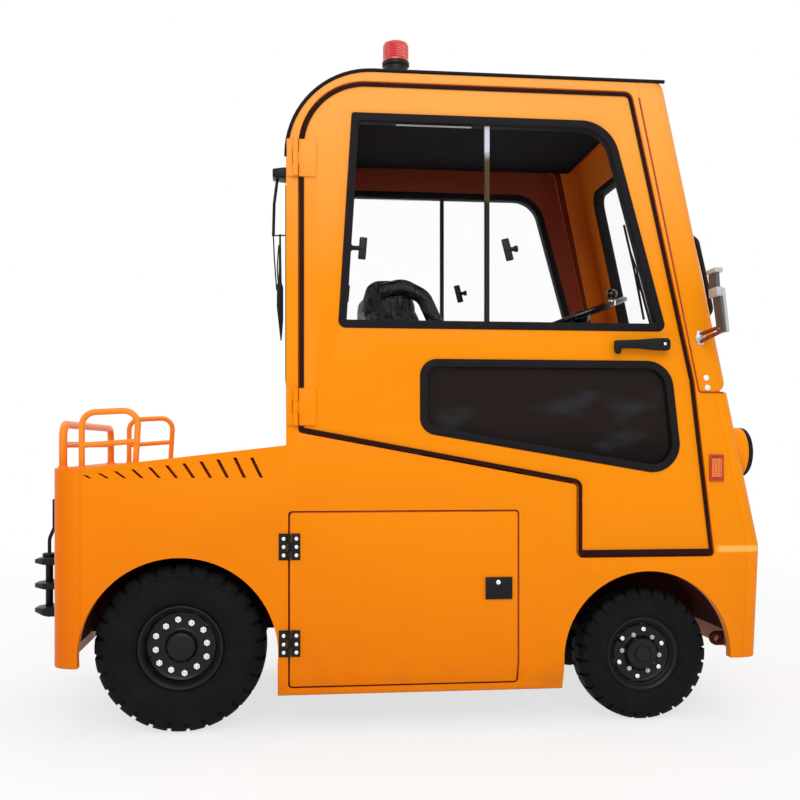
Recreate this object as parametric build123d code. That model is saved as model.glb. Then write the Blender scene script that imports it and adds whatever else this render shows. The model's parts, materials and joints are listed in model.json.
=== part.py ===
from build123d import *
import math
import os

# Airport baggage tug with an enclosed cab. Millimetres, +X forward, +Y to the
# vehicle's left, +Z up. The numbers below measure X from a line near the middle of
# the wheelbase; shift_x then brings the origin to the middle of the overall box,
# on the ground.

# Body and cab
body_half = 550.0
wall = 40.0
rear_face_x = -1152.0
return_x = -1052.0
rear_corner_r = 80.0
rear_inner_r = 20.0
rear_bottom_z = 242.0
deck_flat_z = 916.0
deck_rise_z = 994.0
seam_z = 878.0
deck_plate = 18.0
sill_rear_x = -395.0
sill_front_x = 613.0
sill_fold_z = 229.0
sill_bottom_z = 128.0
sill_fold_in = 34.0
cab_rear_x = -366.0
cab_wall = 35.0
roof_z = 2292.0
roof_thick = 35.0
roof_corner_r = 300.0
front_top_x = 983.0
crease_x = 1347.0
crease_z = 627.0
bumper_x = 1328.0
bumper_z = 229.0
nose_return = 60.0
front_corner_r = 50.0
pillar_top_x = 876.0
pillar_foot_x = 1106.5
pillar_foot_z = 1186.0
front_wall = 36.0
moving_gap = 6.0
running_gap = 0.3

# Wheels
rear_axle_x = -728.0
rear_tyre_r = 295.0
rear_tyre_w = 175.0
rear_wheel_y = 422.0
rear_bead_r = 127.0
rear_flange_r = 145.0
rear_bead_half = 63.0
rear_arch_gap = 40.0
rear_arch_drop = 18.0
rear_arch_z = rear_tyre_r - rear_arch_drop
rear_arch_r = rear_tyre_r + rear_arch_gap
front_axle_x = 918.0
front_tyre_r = 238.0
front_tyre_w = 135.0
front_wheel_y = 440.0
front_bead_r = 102.0
front_flange_r = 120.0
front_bead_half = 42.0
front_arch_gap = 69.0
front_arch_z = front_tyre_r
front_arch_r = front_tyre_r + front_arch_gap
groove_count = 15
groove_w = 16.0
groove_deep = 12.0
groove_long = 44.0
wheel_flats = 24
liner_thick = 6.0
liner_foot_z = 325.0
rear_liner_y = 300.0
front_liner_y = 236.0

# Chassis
rail_y = 200.0
rail_w = 60.0
rear_axle_r = 55.0
rail_over_axle = 50.0
rail_h = 130.0
rail_low_z = rear_tyre_r + rear_axle_r + rail_over_axle
rail_high_z = rail_low_z + rail_h
rail_rear_x = rear_face_x + wall
rail_front_x = 1245.0
front_beam_h = 70.0
kingpin_y = 330.0
kingpin_r = 14.0

# Doors
door_rear_x = -319.0
door_top_z = 2248.0
door_corner_r = 230.0
door_front_top_x = 852.0
door_kink_x = 1083.0
door_kink_z = 1226.0
door_front_low_x = 1158.0
door_low_z = 601.0
door_step_x = 661.0
door_step_z = 860.0
door_slope_z = 1043.0
seal_w = 14.0
seal_low_w = 22.0
seal_proud = 5.0
seal_cut = 0.6
rubber_w = 28.0
glass_thick = 5.0
upper_rear_x = -188.0
upper_rear_top_x = -141.0
upper_front_top_x = 779.0
upper_front_x = 985.0
upper_low_z = 1400.0
upper_high_z = 2144.0
lower_rear_x = 97.0
lower_low_rear_z = 1039.0
lower_high_z = 1295.0
lower_low_z = 877.0
lower_front_top_x = 1000.0
lower_front_x = 1048.0
hinge_x = -334.0
hinge_out = 12.0
hinge_r = 10.0
hinge_h = 127.0
hinge_leaf = 8.0
door_hinge_z = (1980.0, 1126.0)

# Service doors
service_rear_x = -353.0
service_front_x = 443.0
service_low_z = 160.0
service_high_z = 762.0
service_thick = 30.0
service_hinge_x = -356.0
service_hinge_out = 7.0
service_hinge_r = 6.0
service_leaf = 4.0
service_hinge_h = 91.0
service_hinge_z = (646.0, 314.0)

# Cab floor, battery and springs
battery_half = body_half - 135.0
platform_z = 860.0
platform_thick = 16.0
floor_z = 600.0
riser_x = 640.0
spring_w = 50.0
leaf_thick = 8.0
leaf_count = 3

# Windows
screen_half = 350.0
screen_low_z = 1330.0
screen_high_z = 2115.0
screen_r = 70.0
back_half = 360.0
back_low_z = 1230.0
back_high_z = 1950.0
back_r = 60.0
glass_lip = 22.0

# Rear guard
guard_y = body_half - 50.0
guard_half = guard_y - 43.0
guard_r = 14.0
guard_rise = 150.0
guard_mid_rise = 80.0
guard_bend = 45.0
side_guard_r = 10.5
side_guard_rear_x = -1057.0
side_guard_front_x = -867.0
side_guard_rise = 189.0
side_guard_bend = 50.0

# Beacon and mirrors
beacon_x = 22.0
beacon_y = -(body_half - 100.0)
beacon_r = 48.5
beacon_base_h = 68.0
beacon_lens_h = 70.0
mirror_foot_x = 1096.0
mirror_foot_z = 1379.0
mirror_x = 1140.0
mirror_out = 62.0
mirror_low_z = 1400.0
mirror_mid_z = 1530.0
mirror_top_low_z = 1560.0
mirror_top_z = 1630.0

# Ends of the vehicle
hitch_tip_x = -1327.0
hitch_half = 70.0
hitch_low_z = 341.0
hitch_high_z = 562.0
hitch_slots = ((373.0, 444.0), (468.0, 537.0))
pin_r = 14.0
pin_x = -1280.0
lamp_tip_x = 1340.0
lamp_r = 92.0
lamp_y = 400.0
lamp_z = 968.0
tow_lug_x = 1266.0
tow_lug_y = 330.0
tow_lug_z = 257.0
tow_lug_r = 26.0
tow_lug_thick = 16.0
tow_bore_r = 12.0

shift_x = -(hitch_tip_x + crease_x) / 2
sides = {"right": -1, "left": 1}
parts = {}


def keep(name, *pieces):
    """Collects the solids of one sub-part under its name, with the origin moved to the middle."""
    solids = [Pos(shift_x, 0, 0) * solid for piece in pieces for solid in piece.solids()]
    parts[name] = solids[0] if len(solids) == 1 else Compound(solids)


def outline(corners):
    """A face from corners given as (x, z, corner radius)."""
    face = make_face(Polyline(*[(x, z) for x, z, r in corners], close=True))
    for x, z, r in corners:
        if r > 0:
            corner = face.vertices().sort_by_distance((x, z, 0))[0]
            face = fillet(corner, r)
    return face


def grown(face, amount):
    """The same outline moved outward, or inward if negative."""
    return offset(face, amount, kind=Kind.INTERSECTION)


def slab(face, low_y, high_y):
    """A side-view outline as a plate between two values of Y."""
    plane = Plane(origin=(0, high_y, 0), x_dir=(1, 0, 0), z_dir=(0, -1, 0))
    return extrude(plane * face, high_y - low_y, dir=(0, -1, 0))


def across(face, low_x, high_x):
    """A front-view outline, drawn in (y, z), as a prism between two values of X."""
    plane = Plane(origin=(low_x, 0, 0), x_dir=(0, 1, 0), z_dir=(1, 0, 0))
    return extrude(plane * face, high_x - low_x, dir=(1, 0, 0))


def block(low, high):
    """A box from its low corner to its high corner."""
    size = [b - a for a, b in zip(low, high)]
    middle = [(a + b) / 2 for a, b in zip(low, high)]
    return Pos(*middle) * Box(*size)


def rod(start, end, radius, sides=0):
    """A round bar from point to point, or one with flats if sides are given."""
    line = Vector(*end) - Vector(*start)
    plane = Plane(origin=start, z_dir=line)
    shape = RegularPolygon(radius, sides) if sides else Circle(radius)
    return extrude(plane * shape, line.length, dir=line.normalized())


def skinned(rings, closed):
    """A solid with flat sides through rings of points, closed on itself or capped."""
    pairs = list(zip(rings, rings[1:]))
    faces = []
    if closed:
        pairs.append((rings[-1], rings[0]))
    else:
        faces = [Face(Wire.make_polygon(ring, close=True)) for ring in (rings[0], rings[-1])]
    for near, far in pairs:
        for k in range(len(near)):
            m = (k + 1) % len(near)
            faces.append(Face(Wire.make_polygon([near[k], near[m], far[m], far[k]], close=True)))
    return Solid(Shell(faces))


def bent(points, bend, steps=3):
    """The same path with each corner turned into a few short chords."""
    corners = [Vector(*p) for p in points]
    path = [corners[0]]
    for a, b, c in zip(corners, corners[1:], corners[2:]):
        u, v = (a - b).normalized(), (c - b).normalized()
        half = math.acos(u.dot(v)) / 2
        centre = b + (u + v).normalized() * (bend / math.sin(half))
        start = b + u * (bend / math.tan(half)) - centre
        end = b + v * (bend / math.tan(half)) - centre
        turn = math.pi - 2 * half
        for k in range(steps + 1):
            t = k / steps
            spoke = start * math.sin((1 - t) * turn) + end * math.sin(t * turn)
            path.append(centre + spoke * (1 / math.sin(turn)))
    path.append(corners[-1])
    return path


def bar(points, radius, sides=8):
    """A bar with flats along a path, mitred at its corners."""
    path = [p if isinstance(p, Vector) else Vector(*p) for p in points]
    line = (path[1] - path[0]).normalized()
    guide = Vector(0, 1, 0) if abs(line.Y) < 0.9 else Vector(0, 0, 1)
    u = line.cross(guide).normalized()
    v = line.cross(u).normalized()
    angles = [math.tau * (k + 0.5) / sides for k in range(sides)]
    rings = [[path[0] + (u * math.cos(a) + v * math.sin(a)) * radius for a in angles]]
    for i in range(1, len(path)):
        line = (path[i] - path[i - 1]).normalized()
        cut = line
        if i < len(path) - 1:
            cut = (line + (path[i + 1] - path[i]).normalized()).normalized()
        rings.append([q + line * ((path[i] - q).dot(cut) / line.dot(cut)) for q in rings[-1]])
    return skinned(rings, False)


def turned(profile, count=wheel_flats):
    """A ring about the Y axis from (radius, y) points, turned with flats."""
    rings = []
    for k in range(count):
        angle = math.tau * k / count - math.pi / 2
        rings.append([Vector(r * math.cos(angle), y, r * math.sin(angle)) for r, y in profile])
    return skinned(rings, True)


def front_x(z):
    """X of the inclined front face at height z."""
    return crease_x - (z - crease_z) * (crease_x - front_top_x) / (roof_z - crease_z)


def pillar_x(z):
    """X of the seam behind the front pillar at height z."""
    rise = (z - pillar_foot_z) / (roof_z - pillar_foot_z)
    return pillar_foot_x + (pillar_top_x - pillar_foot_x) * rise


def door_front_x(z):
    """X of the door's front edge at height z."""
    if z < door_kink_z:
        rise = (z - door_low_z) / (door_kink_z - door_low_z)
        return door_front_low_x + (door_kink_x - door_front_low_x) * rise
    rise = (z - door_kink_z) / (door_top_z - door_kink_z)
    return door_kink_x + (door_front_top_x - door_kink_x) * rise


def deck_z(x):
    """Height of the sloped rear cover at x."""
    rise = (x - return_x) / (cab_rear_x - return_x)
    return deck_flat_z + (deck_rise_z - deck_flat_z) * rise


def arches():
    """The round wheel openings, right through the body."""
    out = body_half + 1
    rear = rod((rear_axle_x, -out, rear_arch_z), (rear_axle_x, out, rear_arch_z), rear_arch_r)
    front = rod((front_axle_x, -out, front_arch_z), (front_axle_x, out, front_arch_z), front_arch_r)
    return rear + front


def door_outline():
    return outline([
        (door_rear_x, door_slope_z, 10),
        (door_rear_x, door_top_z, door_corner_r),
        (door_front_top_x, door_top_z, 30),
        (door_kink_x, door_kink_z, 0),
        (door_front_low_x, door_low_z, 8),
        (door_step_x, door_low_z, 20),
        (door_step_x, door_step_z, 20),
    ])


def upper_window():
    return outline([
        (upper_rear_x, upper_low_z, 25),
        (upper_rear_top_x, upper_high_z, 10),
        (upper_front_top_x, upper_high_z, 142),
        (upper_front_x, upper_low_z, 25),
    ])


def lower_window():
    return outline([
        (lower_rear_x, lower_low_rear_z, 60),
        (lower_rear_x, lower_high_z, 60),
        (lower_front_top_x, lower_high_z, 100),
        (lower_front_x, lower_low_z, 100),
    ])


def service_outline():
    return outline([
        (service_rear_x, service_low_z, 8),
        (service_rear_x, service_high_z, 8),
        (service_front_x, service_high_z, 8),
        (service_front_x, service_low_z, 8),
    ])


def sill_wedge():
    """What the inward fold of the sill takes off the right side."""
    fold = make_face(Polyline(
        (-body_half, sill_fold_z), (-body_half + sill_fold_in, sill_bottom_z),
        (-body_half + sill_fold_in, sill_bottom_z - 10), (-body_half - 20, sill_bottom_z - 10),
        (-body_half - 20, sill_fold_z), close=True))
    return across(fold, sill_rear_x - 5, sill_front_x + 5)


def hinge_parts(x, y, z, height, radius, leaf, reach_fixed, reach_moving, skin_y):
    """A vertical butt hinge on the right side: fixed half with its pin, and moving half.

    The barrel is in thirds, the middle one moving."""
    third = height / 3
    low = z - height / 2
    clear = radius + 2
    sides_n = 8
    pin = radius * 0.45
    bore = pin + running_gap
    fixed = block((x - reach_fixed, skin_y - leaf, low), (x - clear, skin_y, low + height))
    moving = block((x + clear, skin_y - leaf, low), (x + reach_moving, skin_y, low + height))
    for k in (0, 2):
        foot = low + k * third
        fixed += block((x - clear, skin_y - leaf, foot), (x, skin_y, foot + third))
        fixed += rod((x, y, foot), (x, y, foot + third), radius, sides_n)
    fixed += rod((x, y, low), (x, y, low + height), pin)
    knuckle = block((x, skin_y - leaf, low + third + 0.5), (x + clear, skin_y, low + 2 * third - 0.5))
    knuckle += rod((x, y, low + third + 0.5), (x, y, low + 2 * third - 0.5), radius, sides_n)
    knuckle -= rod((x, y, low), (x, y, low + height), bore)
    return fixed, moving + knuckle


def door_hinges():
    """Fixed and moving halves of both hinges of the right cab door."""
    fixed, moving = [], []
    for z in door_hinge_z:
        a, b = hinge_parts(hinge_x, -body_half - hinge_out, z, hinge_h, hinge_r, hinge_leaf, 30, 70, -body_half)
        fixed.append(a)
        moving.append(b)
    return fixed, moving


def service_hinges():
    """Fixed and moving halves of both hinges of the right service door."""
    fixed, moving = [], []
    for z in service_hinge_z:
        a, b = hinge_parts(service_hinge_x, -body_half - service_hinge_out, z, service_hinge_h,
                           service_hinge_r, service_leaf, 35, 38, -body_half)
        fixed.append(a)
        moving.append(b)
    return fixed, moving


def body_side():
    """Right side panel from the rear return to the nose, with its openings."""
    face = outline([
        (return_x, rear_bottom_z, 0), (return_x, seam_z, 0), (cab_rear_x, seam_z, 0),
        (cab_rear_x, roof_z, roof_corner_r), (pillar_top_x, roof_z, 0), (pillar_foot_x, pillar_foot_z, 0),
        (front_x(pillar_foot_z) - nose_return, pillar_foot_z, 0), (crease_x - nose_return, crease_z, 0),
        (bumper_x - nose_return, bumper_z, 0), (sill_front_x, bumper_z, 0), (sill_front_x, sill_bottom_z, 0),
        (sill_rear_x, sill_bottom_z, 0), (sill_rear_x, rear_bottom_z, 0),
    ])
    panel = slab(face, -body_half, -body_half + wall)
    panel -= arches()
    panel -= sill_wedge()
    panel -= slab(grown(door_outline(), moving_gap), -body_half - 1, -body_half + wall + 1)
    panel -= slab(grown(service_outline(), moving_gap), -body_half - 1, -body_half + wall + 1)
    fixed, moving = door_hinges()
    for leaf in fixed:
        panel += leaf
    return panel


def rear_panel():
    """Rear face with round corners and a narrow flat top."""
    middle = (rear_face_x + return_x) / 2
    length = return_x - rear_face_x
    high = deck_flat_z - rear_bottom_z
    outer = Pos(middle, 0, rear_bottom_z + high / 2) * Box(length, 2 * body_half, high)
    corners = outer.edges().filter_by(Axis.Z).group_by(Axis.X)[0]
    outer = fillet(corners, rear_corner_r)
    inner = block((rear_face_x + wall, -body_half + wall, rear_bottom_z - 1),
                  (return_x + wall, body_half - wall, deck_flat_z - deck_plate))
    edges = inner.edges().filter_by(Axis.Z).group_by(Axis.X)[0]
    inner = fillet(edges, rear_inner_r)
    return outer - inner - arches()


def rear_deck():
    """Sloped cover behind the cab, its skirts cut with leaning vent slots."""
    wedge = outline([(return_x, seam_z, 0), (return_x, deck_flat_z, 0), (cab_rear_x, deck_rise_z, 0), (cab_rear_x, seam_z, 0)])
    cover = slab(wedge, -body_half, body_half)
    inner = outline([
        (return_x - 1, seam_z - 1, 0), (return_x - 1, deck_z(return_x - 1) - deck_plate, 0),
        (cab_rear_x + 1, deck_z(cab_rear_x + 1) - deck_plate, 0), (cab_rear_x + 1, seam_z - 1, 0),
    ])
    cover -= slab(inner, -body_half + wall, body_half - wall)
    count, slot_w, slot_lean = 11, 12.0, 33.0
    first_x, pitch, foot, head_room, highest = -450.0, 57.0, 5.0, 26.0, 952.0
    for k in range(count):
        x = first_x - k * pitch
        low = seam_z + foot
        high = min(deck_z(x) - head_room, highest)
        top = x - slot_lean * min(1, (high - low) / 20)
        slot = outline([
            (x - slot_w / 2, low, 0), (top - slot_w / 2, high, 0),
            (top + slot_w / 2, high, 0), (x + slot_w / 2, low, 0),
        ])
        cover -= slab(slot, -body_half - 1, body_half + 1)
    return cover


def nose_panel():
    """Lower front face, inclined above its crease, with round corners."""
    top = pillar_foot_z
    face = outline([
        (bumper_x - nose_return, bumper_z, 0), (crease_x - nose_return, crease_z, 0), (front_x(top) - nose_return, top, 0),
        (front_x(top), top, 0), (crease_x, crease_z, 0), (bumper_x, bumper_z, 0),
    ])
    shell = slab(face, -body_half, body_half)
    corners = []
    for e in shell.edges():
        middle = e.center()
        on_side = abs(abs(middle.Y) - body_half) < 0.1
        if on_side and e.length > 300 and middle.X > front_x(max(middle.Z, crease_z)) - nose_return / 2:
            corners.append(e)
    shell = fillet(corners, front_corner_r)
    inner = outline([
        (bumper_x - nose_return - 20, bumper_z - 1, 0), (crease_x - nose_return - 20, crease_z, 0),
        (front_x(top + 1) - nose_return - 20, top + 1, 0), (front_x(top + 1) - front_wall, top + 1, 0),
        (crease_x - front_wall, crease_z, 0), (bumper_x - front_wall, bumper_z - 1, 0),
    ])
    shell -= slab(inner, -body_half + wall, body_half - wall)
    return shell - arches()


def tow_lugs():
    """Two eyes with round ends, welded to the inside of the nose."""
    low, high = tow_lug_z - tow_lug_r, tow_lug_z + tow_lug_r
    slope = (crease_x - bumper_x) / (crease_z - bumper_z)
    root = bumper_x - front_wall - bumper_z * slope
    face = outline([
        (tow_lug_x, low, 0), (root + low * slope, low, 0), (root + high * slope, high, 0), (tow_lug_x, high, 0),
    ])
    half = tow_lug_thick / 2
    lug = slab(face, -half, half) + rod((tow_lug_x, -half, tow_lug_z), (tow_lug_x, half, tow_lug_z), tow_lug_r)
    lug -= rod((tow_lug_x, -half - 1, tow_lug_z), (tow_lug_x, half + 1, tow_lug_z), tow_bore_r)
    keep("tow_lugs", *[Pos(0, s * tow_lug_y, 0) * lug for s in sides.values()])


def windscreen_outline():
    """Front view of the windscreen opening in (y, z)."""
    return outline([
        (-screen_half, screen_low_z, screen_r), (-screen_half, screen_high_z, screen_r),
        (screen_half, screen_high_z, screen_r), (screen_half, screen_low_z, screen_r),
    ])


def front_layer(behind, ahead):
    """A slanting layer parallel to the front face, from behind to ahead of it."""
    low, high = pillar_foot_z, roof_z
    return slab(outline([
        (front_x(low) - behind, low, 0), (front_x(high) - behind, high, 0),
        (front_x(high) + ahead, high, 0), (front_x(low) + ahead, low, 0),
    ]), -body_half, body_half)


def windscreen_frame():
    """Upper front: both pillars, the header and the panel under the windscreen."""
    low, high = pillar_foot_z, roof_z
    shell = slab(outline([
        (pillar_x(low), low, 0), (pillar_x(high), high, 0), (front_x(high), high, 0), (front_x(low), low, 0),
    ]), -body_half, body_half)
    edges = [e for e in shell.edges() if e.length > 900 and e.center().X > pillar_x(e.center().Z) + 40]
    shell = fillet(edges, front_corner_r)
    ceiling = roof_z - roof_thick
    shell -= slab(outline([
        (pillar_x(low - 1) - 20, low - 1, 0), (pillar_x(ceiling) - 20, ceiling, 0),
        (front_x(ceiling) - front_wall, ceiling, 0), (front_x(low - 1) - front_wall, low - 1, 0),
    ]), -body_half + wall, body_half - wall)
    return shell - across(windscreen_outline(), pillar_top_x - 50, crease_x)


def cab_roof():
    low = roof_z - roof_corner_r
    inner_x = cab_rear_x + cab_wall
    under = roof_z - roof_thick
    face = outline([
        (cab_rear_x, low, 0), (cab_rear_x, roof_z, roof_corner_r), (pillar_x(roof_z), roof_z, 0),
        (pillar_x(under), under, 0), (inner_x, under, roof_corner_r - cab_wall), (inner_x, low, 0),
    ])
    return slab(face, -body_half + wall, body_half - wall)


def rear_window():
    """Front view of the rear window opening in (y, z)."""
    return outline([
        (-back_half, back_low_z, back_r), (-back_half, back_high_z, back_r),
        (back_half, back_high_z, back_r), (back_half, back_low_z, back_r),
    ])


def cab_rear_wall():
    panel = block((cab_rear_x, -body_half + wall, platform_z - platform_thick),
                  (cab_rear_x + cab_wall, body_half - wall, roof_z - roof_corner_r))
    return panel - across(rear_window(), cab_rear_x - 1, cab_rear_x + cab_wall + 1)


def cab_floor():
    """Seat platform, riser and the footwell's floor, bent from one sheet."""
    half = body_half - wall
    low = floor_z - platform_thick
    face = outline([
        (cab_rear_x + cab_wall, platform_z, 0), (riser_x, platform_z, 0), (riser_x, floor_z, 0),
        (crease_x - front_wall - 8, floor_z, 0), (crease_x - front_wall - 8, low, 0), (riser_x - platform_thick, low, 0),
        (riser_x - platform_thick, platform_z - platform_thick, 0), (cab_rear_x + cab_wall, platform_z - platform_thick, 0),
    ])
    return slab(face, -half, half)


def glazing():
    """Windscreen and rear window panes, and the rubber round each."""
    screen = windscreen_outline()
    opening = across(screen, pillar_top_x - 50, crease_x)
    sight = across(grown(screen, -glass_lip), pillar_top_x - 50, crease_x)
    front_pane = sight & front_layer(20, -14)
    front_seal = (opening - sight) & front_layer(front_wall + 3, 4)
    window = rear_window()
    rear_sight = grown(window, -glass_lip)
    rear_pane = across(rear_sight, cab_rear_x + 14, cab_rear_x + 20)
    rear_seal = across(window, cab_rear_x - 4, cab_rear_x + cab_wall + 3)
    rear_seal -= across(rear_sight, cab_rear_x - 5, cab_rear_x + cab_wall + 4)
    keep("cab_glass", front_pane, rear_pane)
    keep("glass_seals", front_seal, rear_seal)


def liner(x, z, radius, inner_y, notch_z):
    """Right-hand wheel arch liner: a curved sheet with an inner wall, notched over the axle."""
    outer = rod((x, -body_half + wall, z), (x, -inner_y, z), radius + liner_thick)
    hollow = rod((x, -body_half + wall - 1, z), (x, -inner_y - liner_thick, z), radius)
    below = block((x - 500, -body_half, z - 500), (x + 500, 0, liner_foot_z))
    notch = block((x - 95, -inner_y - liner_thick - 1, liner_foot_z - 1), (x + 95, -inner_y + 1, notch_z))
    return outer - hollow - below - notch


def frame():
    rails = []
    for s in sides.values():
        rails.append(block((rail_rear_x, s * rail_y - rail_w / 2, rail_low_z), (rail_front_x, s * rail_y + rail_w / 2, rail_high_z)))
    keep("frame_rails", *rails)
    inner = rail_y - rail_w / 2
    cross = []
    for x in (rail_rear_x + 40, -420.0, 480.0, rail_front_x - 40):
        cross.append(block((x - 35, -inner, rail_low_z + 15), (x + 35, inner, rail_high_z - 15)))
    keep("frame_crossmembers", *cross)



def spring(x, seat_z, half_span, rise):
    """Semi-elliptic spring under the right rail, with its two hangers."""
    radius = (half_span ** 2 + rise ** 2) / (2 * rise)
    top_z = seat_z + leaf_thick * leaf_count
    centre = top_z + radius
    stack = None
    for k in range(leaf_count):
        reach = half_span * (1 - 0.27 * k)
        outer = radius + leaf_thick * (k + 1)
        leaf = rod((x, -spring_w / 2, centre), (x, spring_w / 2, centre), outer)
        leaf -= rod((x, -spring_w, centre), (x, spring_w, centre), outer - leaf_thick)
        leaf &= block((x - reach, -spring_w, seat_z - 1), (x + reach, spring_w, top_z + rise + 2 * leaf_thick))
        stack = leaf if stack is None else stack + leaf
    eye_z = top_z + rise - leaf_thick / 2
    for end in (-1, 1):
        eye_x = x + end * half_span
        stack += rod((eye_x, -spring_w / 2, eye_z), (eye_x, spring_w / 2, eye_z), 15, 8)
        stack += block((eye_x - 12, -spring_w / 2, eye_z), (eye_x + 12, spring_w / 2, rail_low_z))
    return Pos(0, -rail_y, 0) * stack


def running_gear():
    """Axles and springs."""
    y_end = rear_wheel_y - rear_bead_half - 15
    z = rear_tyre_r
    tube = rod((rear_axle_x, -y_end, z), (rear_axle_x, y_end, z), rear_axle_r, 16)
    tube += rod((rear_axle_x, -rear_wheel_y - 30, z), (rear_axle_x, rear_wheel_y + 30, z), 22)
    casing = [(30, -110), (60, -110), (108, -60), (120, 0), (108, 60), (60, 110), (30, 110)]
    tube += Pos(rear_axle_x, 0, z) * turned(casing, 20)
    for s in sides.values():
        tube += block((rear_axle_x - 45, s * rail_y - rail_w / 2, z), (rear_axle_x + 45, s * rail_y + rail_w / 2, z + rear_axle_r))
    tube += rod((rear_axle_x, 0, z), (rear_axle_x + 240, 0, z + 60), 75, 12)
    z = front_tyre_r
    beam = block((front_axle_x - 35, -kingpin_y, z - front_beam_h / 2), (front_axle_x + 35, kingpin_y, z + front_beam_h / 2))
    for s in sides.values():
        low, high = z - front_beam_h / 2, z + front_beam_h / 2
        beam += rod((front_axle_x, s * kingpin_y, low), (front_axle_x, s * kingpin_y, high), 35, 12)
        bore = kingpin_r + running_gap
        beam -= rod((front_axle_x, s * kingpin_y, low - 1), (front_axle_x, s * kingpin_y, high + 1), bore)
    keep("axles", tube, beam)
    springs = []
    for x, seat_z, half_span, rise in (
        (rear_axle_x, rear_tyre_r + rear_axle_r, 300, 11), (front_axle_x, front_tyre_r + front_beam_h / 2, 270, 50),
    ):
        right = spring(x, seat_z, half_span, rise)
        springs += [right, mirror(right, about=Plane.XZ)]
    keep("leaf_springs", *springs)


def knuckle():
    """Right steering knuckle: a yoke round the beam's end, king pin and stub."""
    z, y = front_tyre_r, -kingpin_y
    half = front_beam_h / 2
    ear = 18.0
    body = rod((front_axle_x, y, z - half - 1 - ear), (front_axle_x, y, z + half + 1 + ear), kingpin_r)
    for low in (z - half - 1 - ear, z + half + 1):
        body += rod((front_axle_x, y, low), (front_axle_x, y, low + ear), 32, 12)
        body += block((front_axle_x - 32, y - 52, low), (front_axle_x + 32, y, low + ear))
    body += block((front_axle_x - 32, y - 62, z - half - 1 - ear), (front_axle_x + 32, y - 42, z + half + 1 + ear))
    stub_end = -front_wheel_y - 12
    body += rod((front_axle_x, y - 60, z), (front_axle_x, stub_end, z), 20)
    return body


def tyre(radius, width, bead_r, flange_r, bead_half):
    """Tyre about its own centre, axis along Y, its shoulders grooved into lugs."""
    half = width / 2
    profile = [
        (bead_r, bead_half), (flange_r + 1, bead_half), (flange_r + 30, half), (radius - 32, half), (radius, half - 24),
    ]
    whole = turned(profile + [(r, -y) for r, y in reversed(profile)])
    grooves = []
    step = 360 / groove_count
    for k in range(groove_count):
        for s in sides.values():
            turn = Rot(0, step * (k + s / 4), 0)
            place = Pos(0, s * half, radius)
            grooves.append(turn * place * Box(groove_w, 2 * groove_long, 2 * groove_deep))
    return whole - grooves


def rim(bead_r, flange_r, bead_half, disc_y, bore):
    """Wheel rim about its own centre, hub outward along +Y."""
    out = bead_half + 6
    inner = bead_r - 7
    hub = bore + 25
    raw = bore - 5
    ring = turned([
        (inner, -out), (flange_r, -out), (flange_r, -bead_half), (bead_r, -bead_half),
        (bead_r, bead_half), (flange_r, bead_half), (flange_r, out), (inner, out),
        (inner, disc_y), (hub, disc_y - 10), (hub, disc_y + 22), (raw, disc_y + 22),
        (raw, disc_y - 24), (inner, disc_y - 14),
    ])
    return ring - rod((0, disc_y - 40, 0), (0, disc_y + 40, 0), bore)


def wheels():
    """Tyres and rims in place; the disc of each faces outward."""
    table = (
        # name, axle x, tyre radius, tyre width, wheel y, bead, flange, half bead width, disc offset, hub bore
        ("rear", rear_axle_x, rear_tyre_r, rear_tyre_w, rear_wheel_y,
         rear_bead_r, rear_flange_r, rear_bead_half, 30.0, 22.5),
        ("front", front_axle_x, front_tyre_r, front_tyre_w, front_wheel_y,
         front_bead_r, front_flange_r, front_bead_half, 24.0, 20.5),
    )
    for name, x, radius, width, y, bead_r, flange_r, bead_half, disc_y, bore in table:
        for side, s in sides.items():
            place = Pos(x, s * y, radius)
            rubber = tyre(radius, width, bead_r, flange_r, bead_half)
            metal = rim(bead_r, flange_r, bead_half, disc_y, bore)
            if s < 0:
                metal = mirror(metal, about=Plane.XZ)
            keep(f"tyre_{name}_{side}", place * rubber)
            keep(f"rim_{name}_{side}", place * metal)


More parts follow.
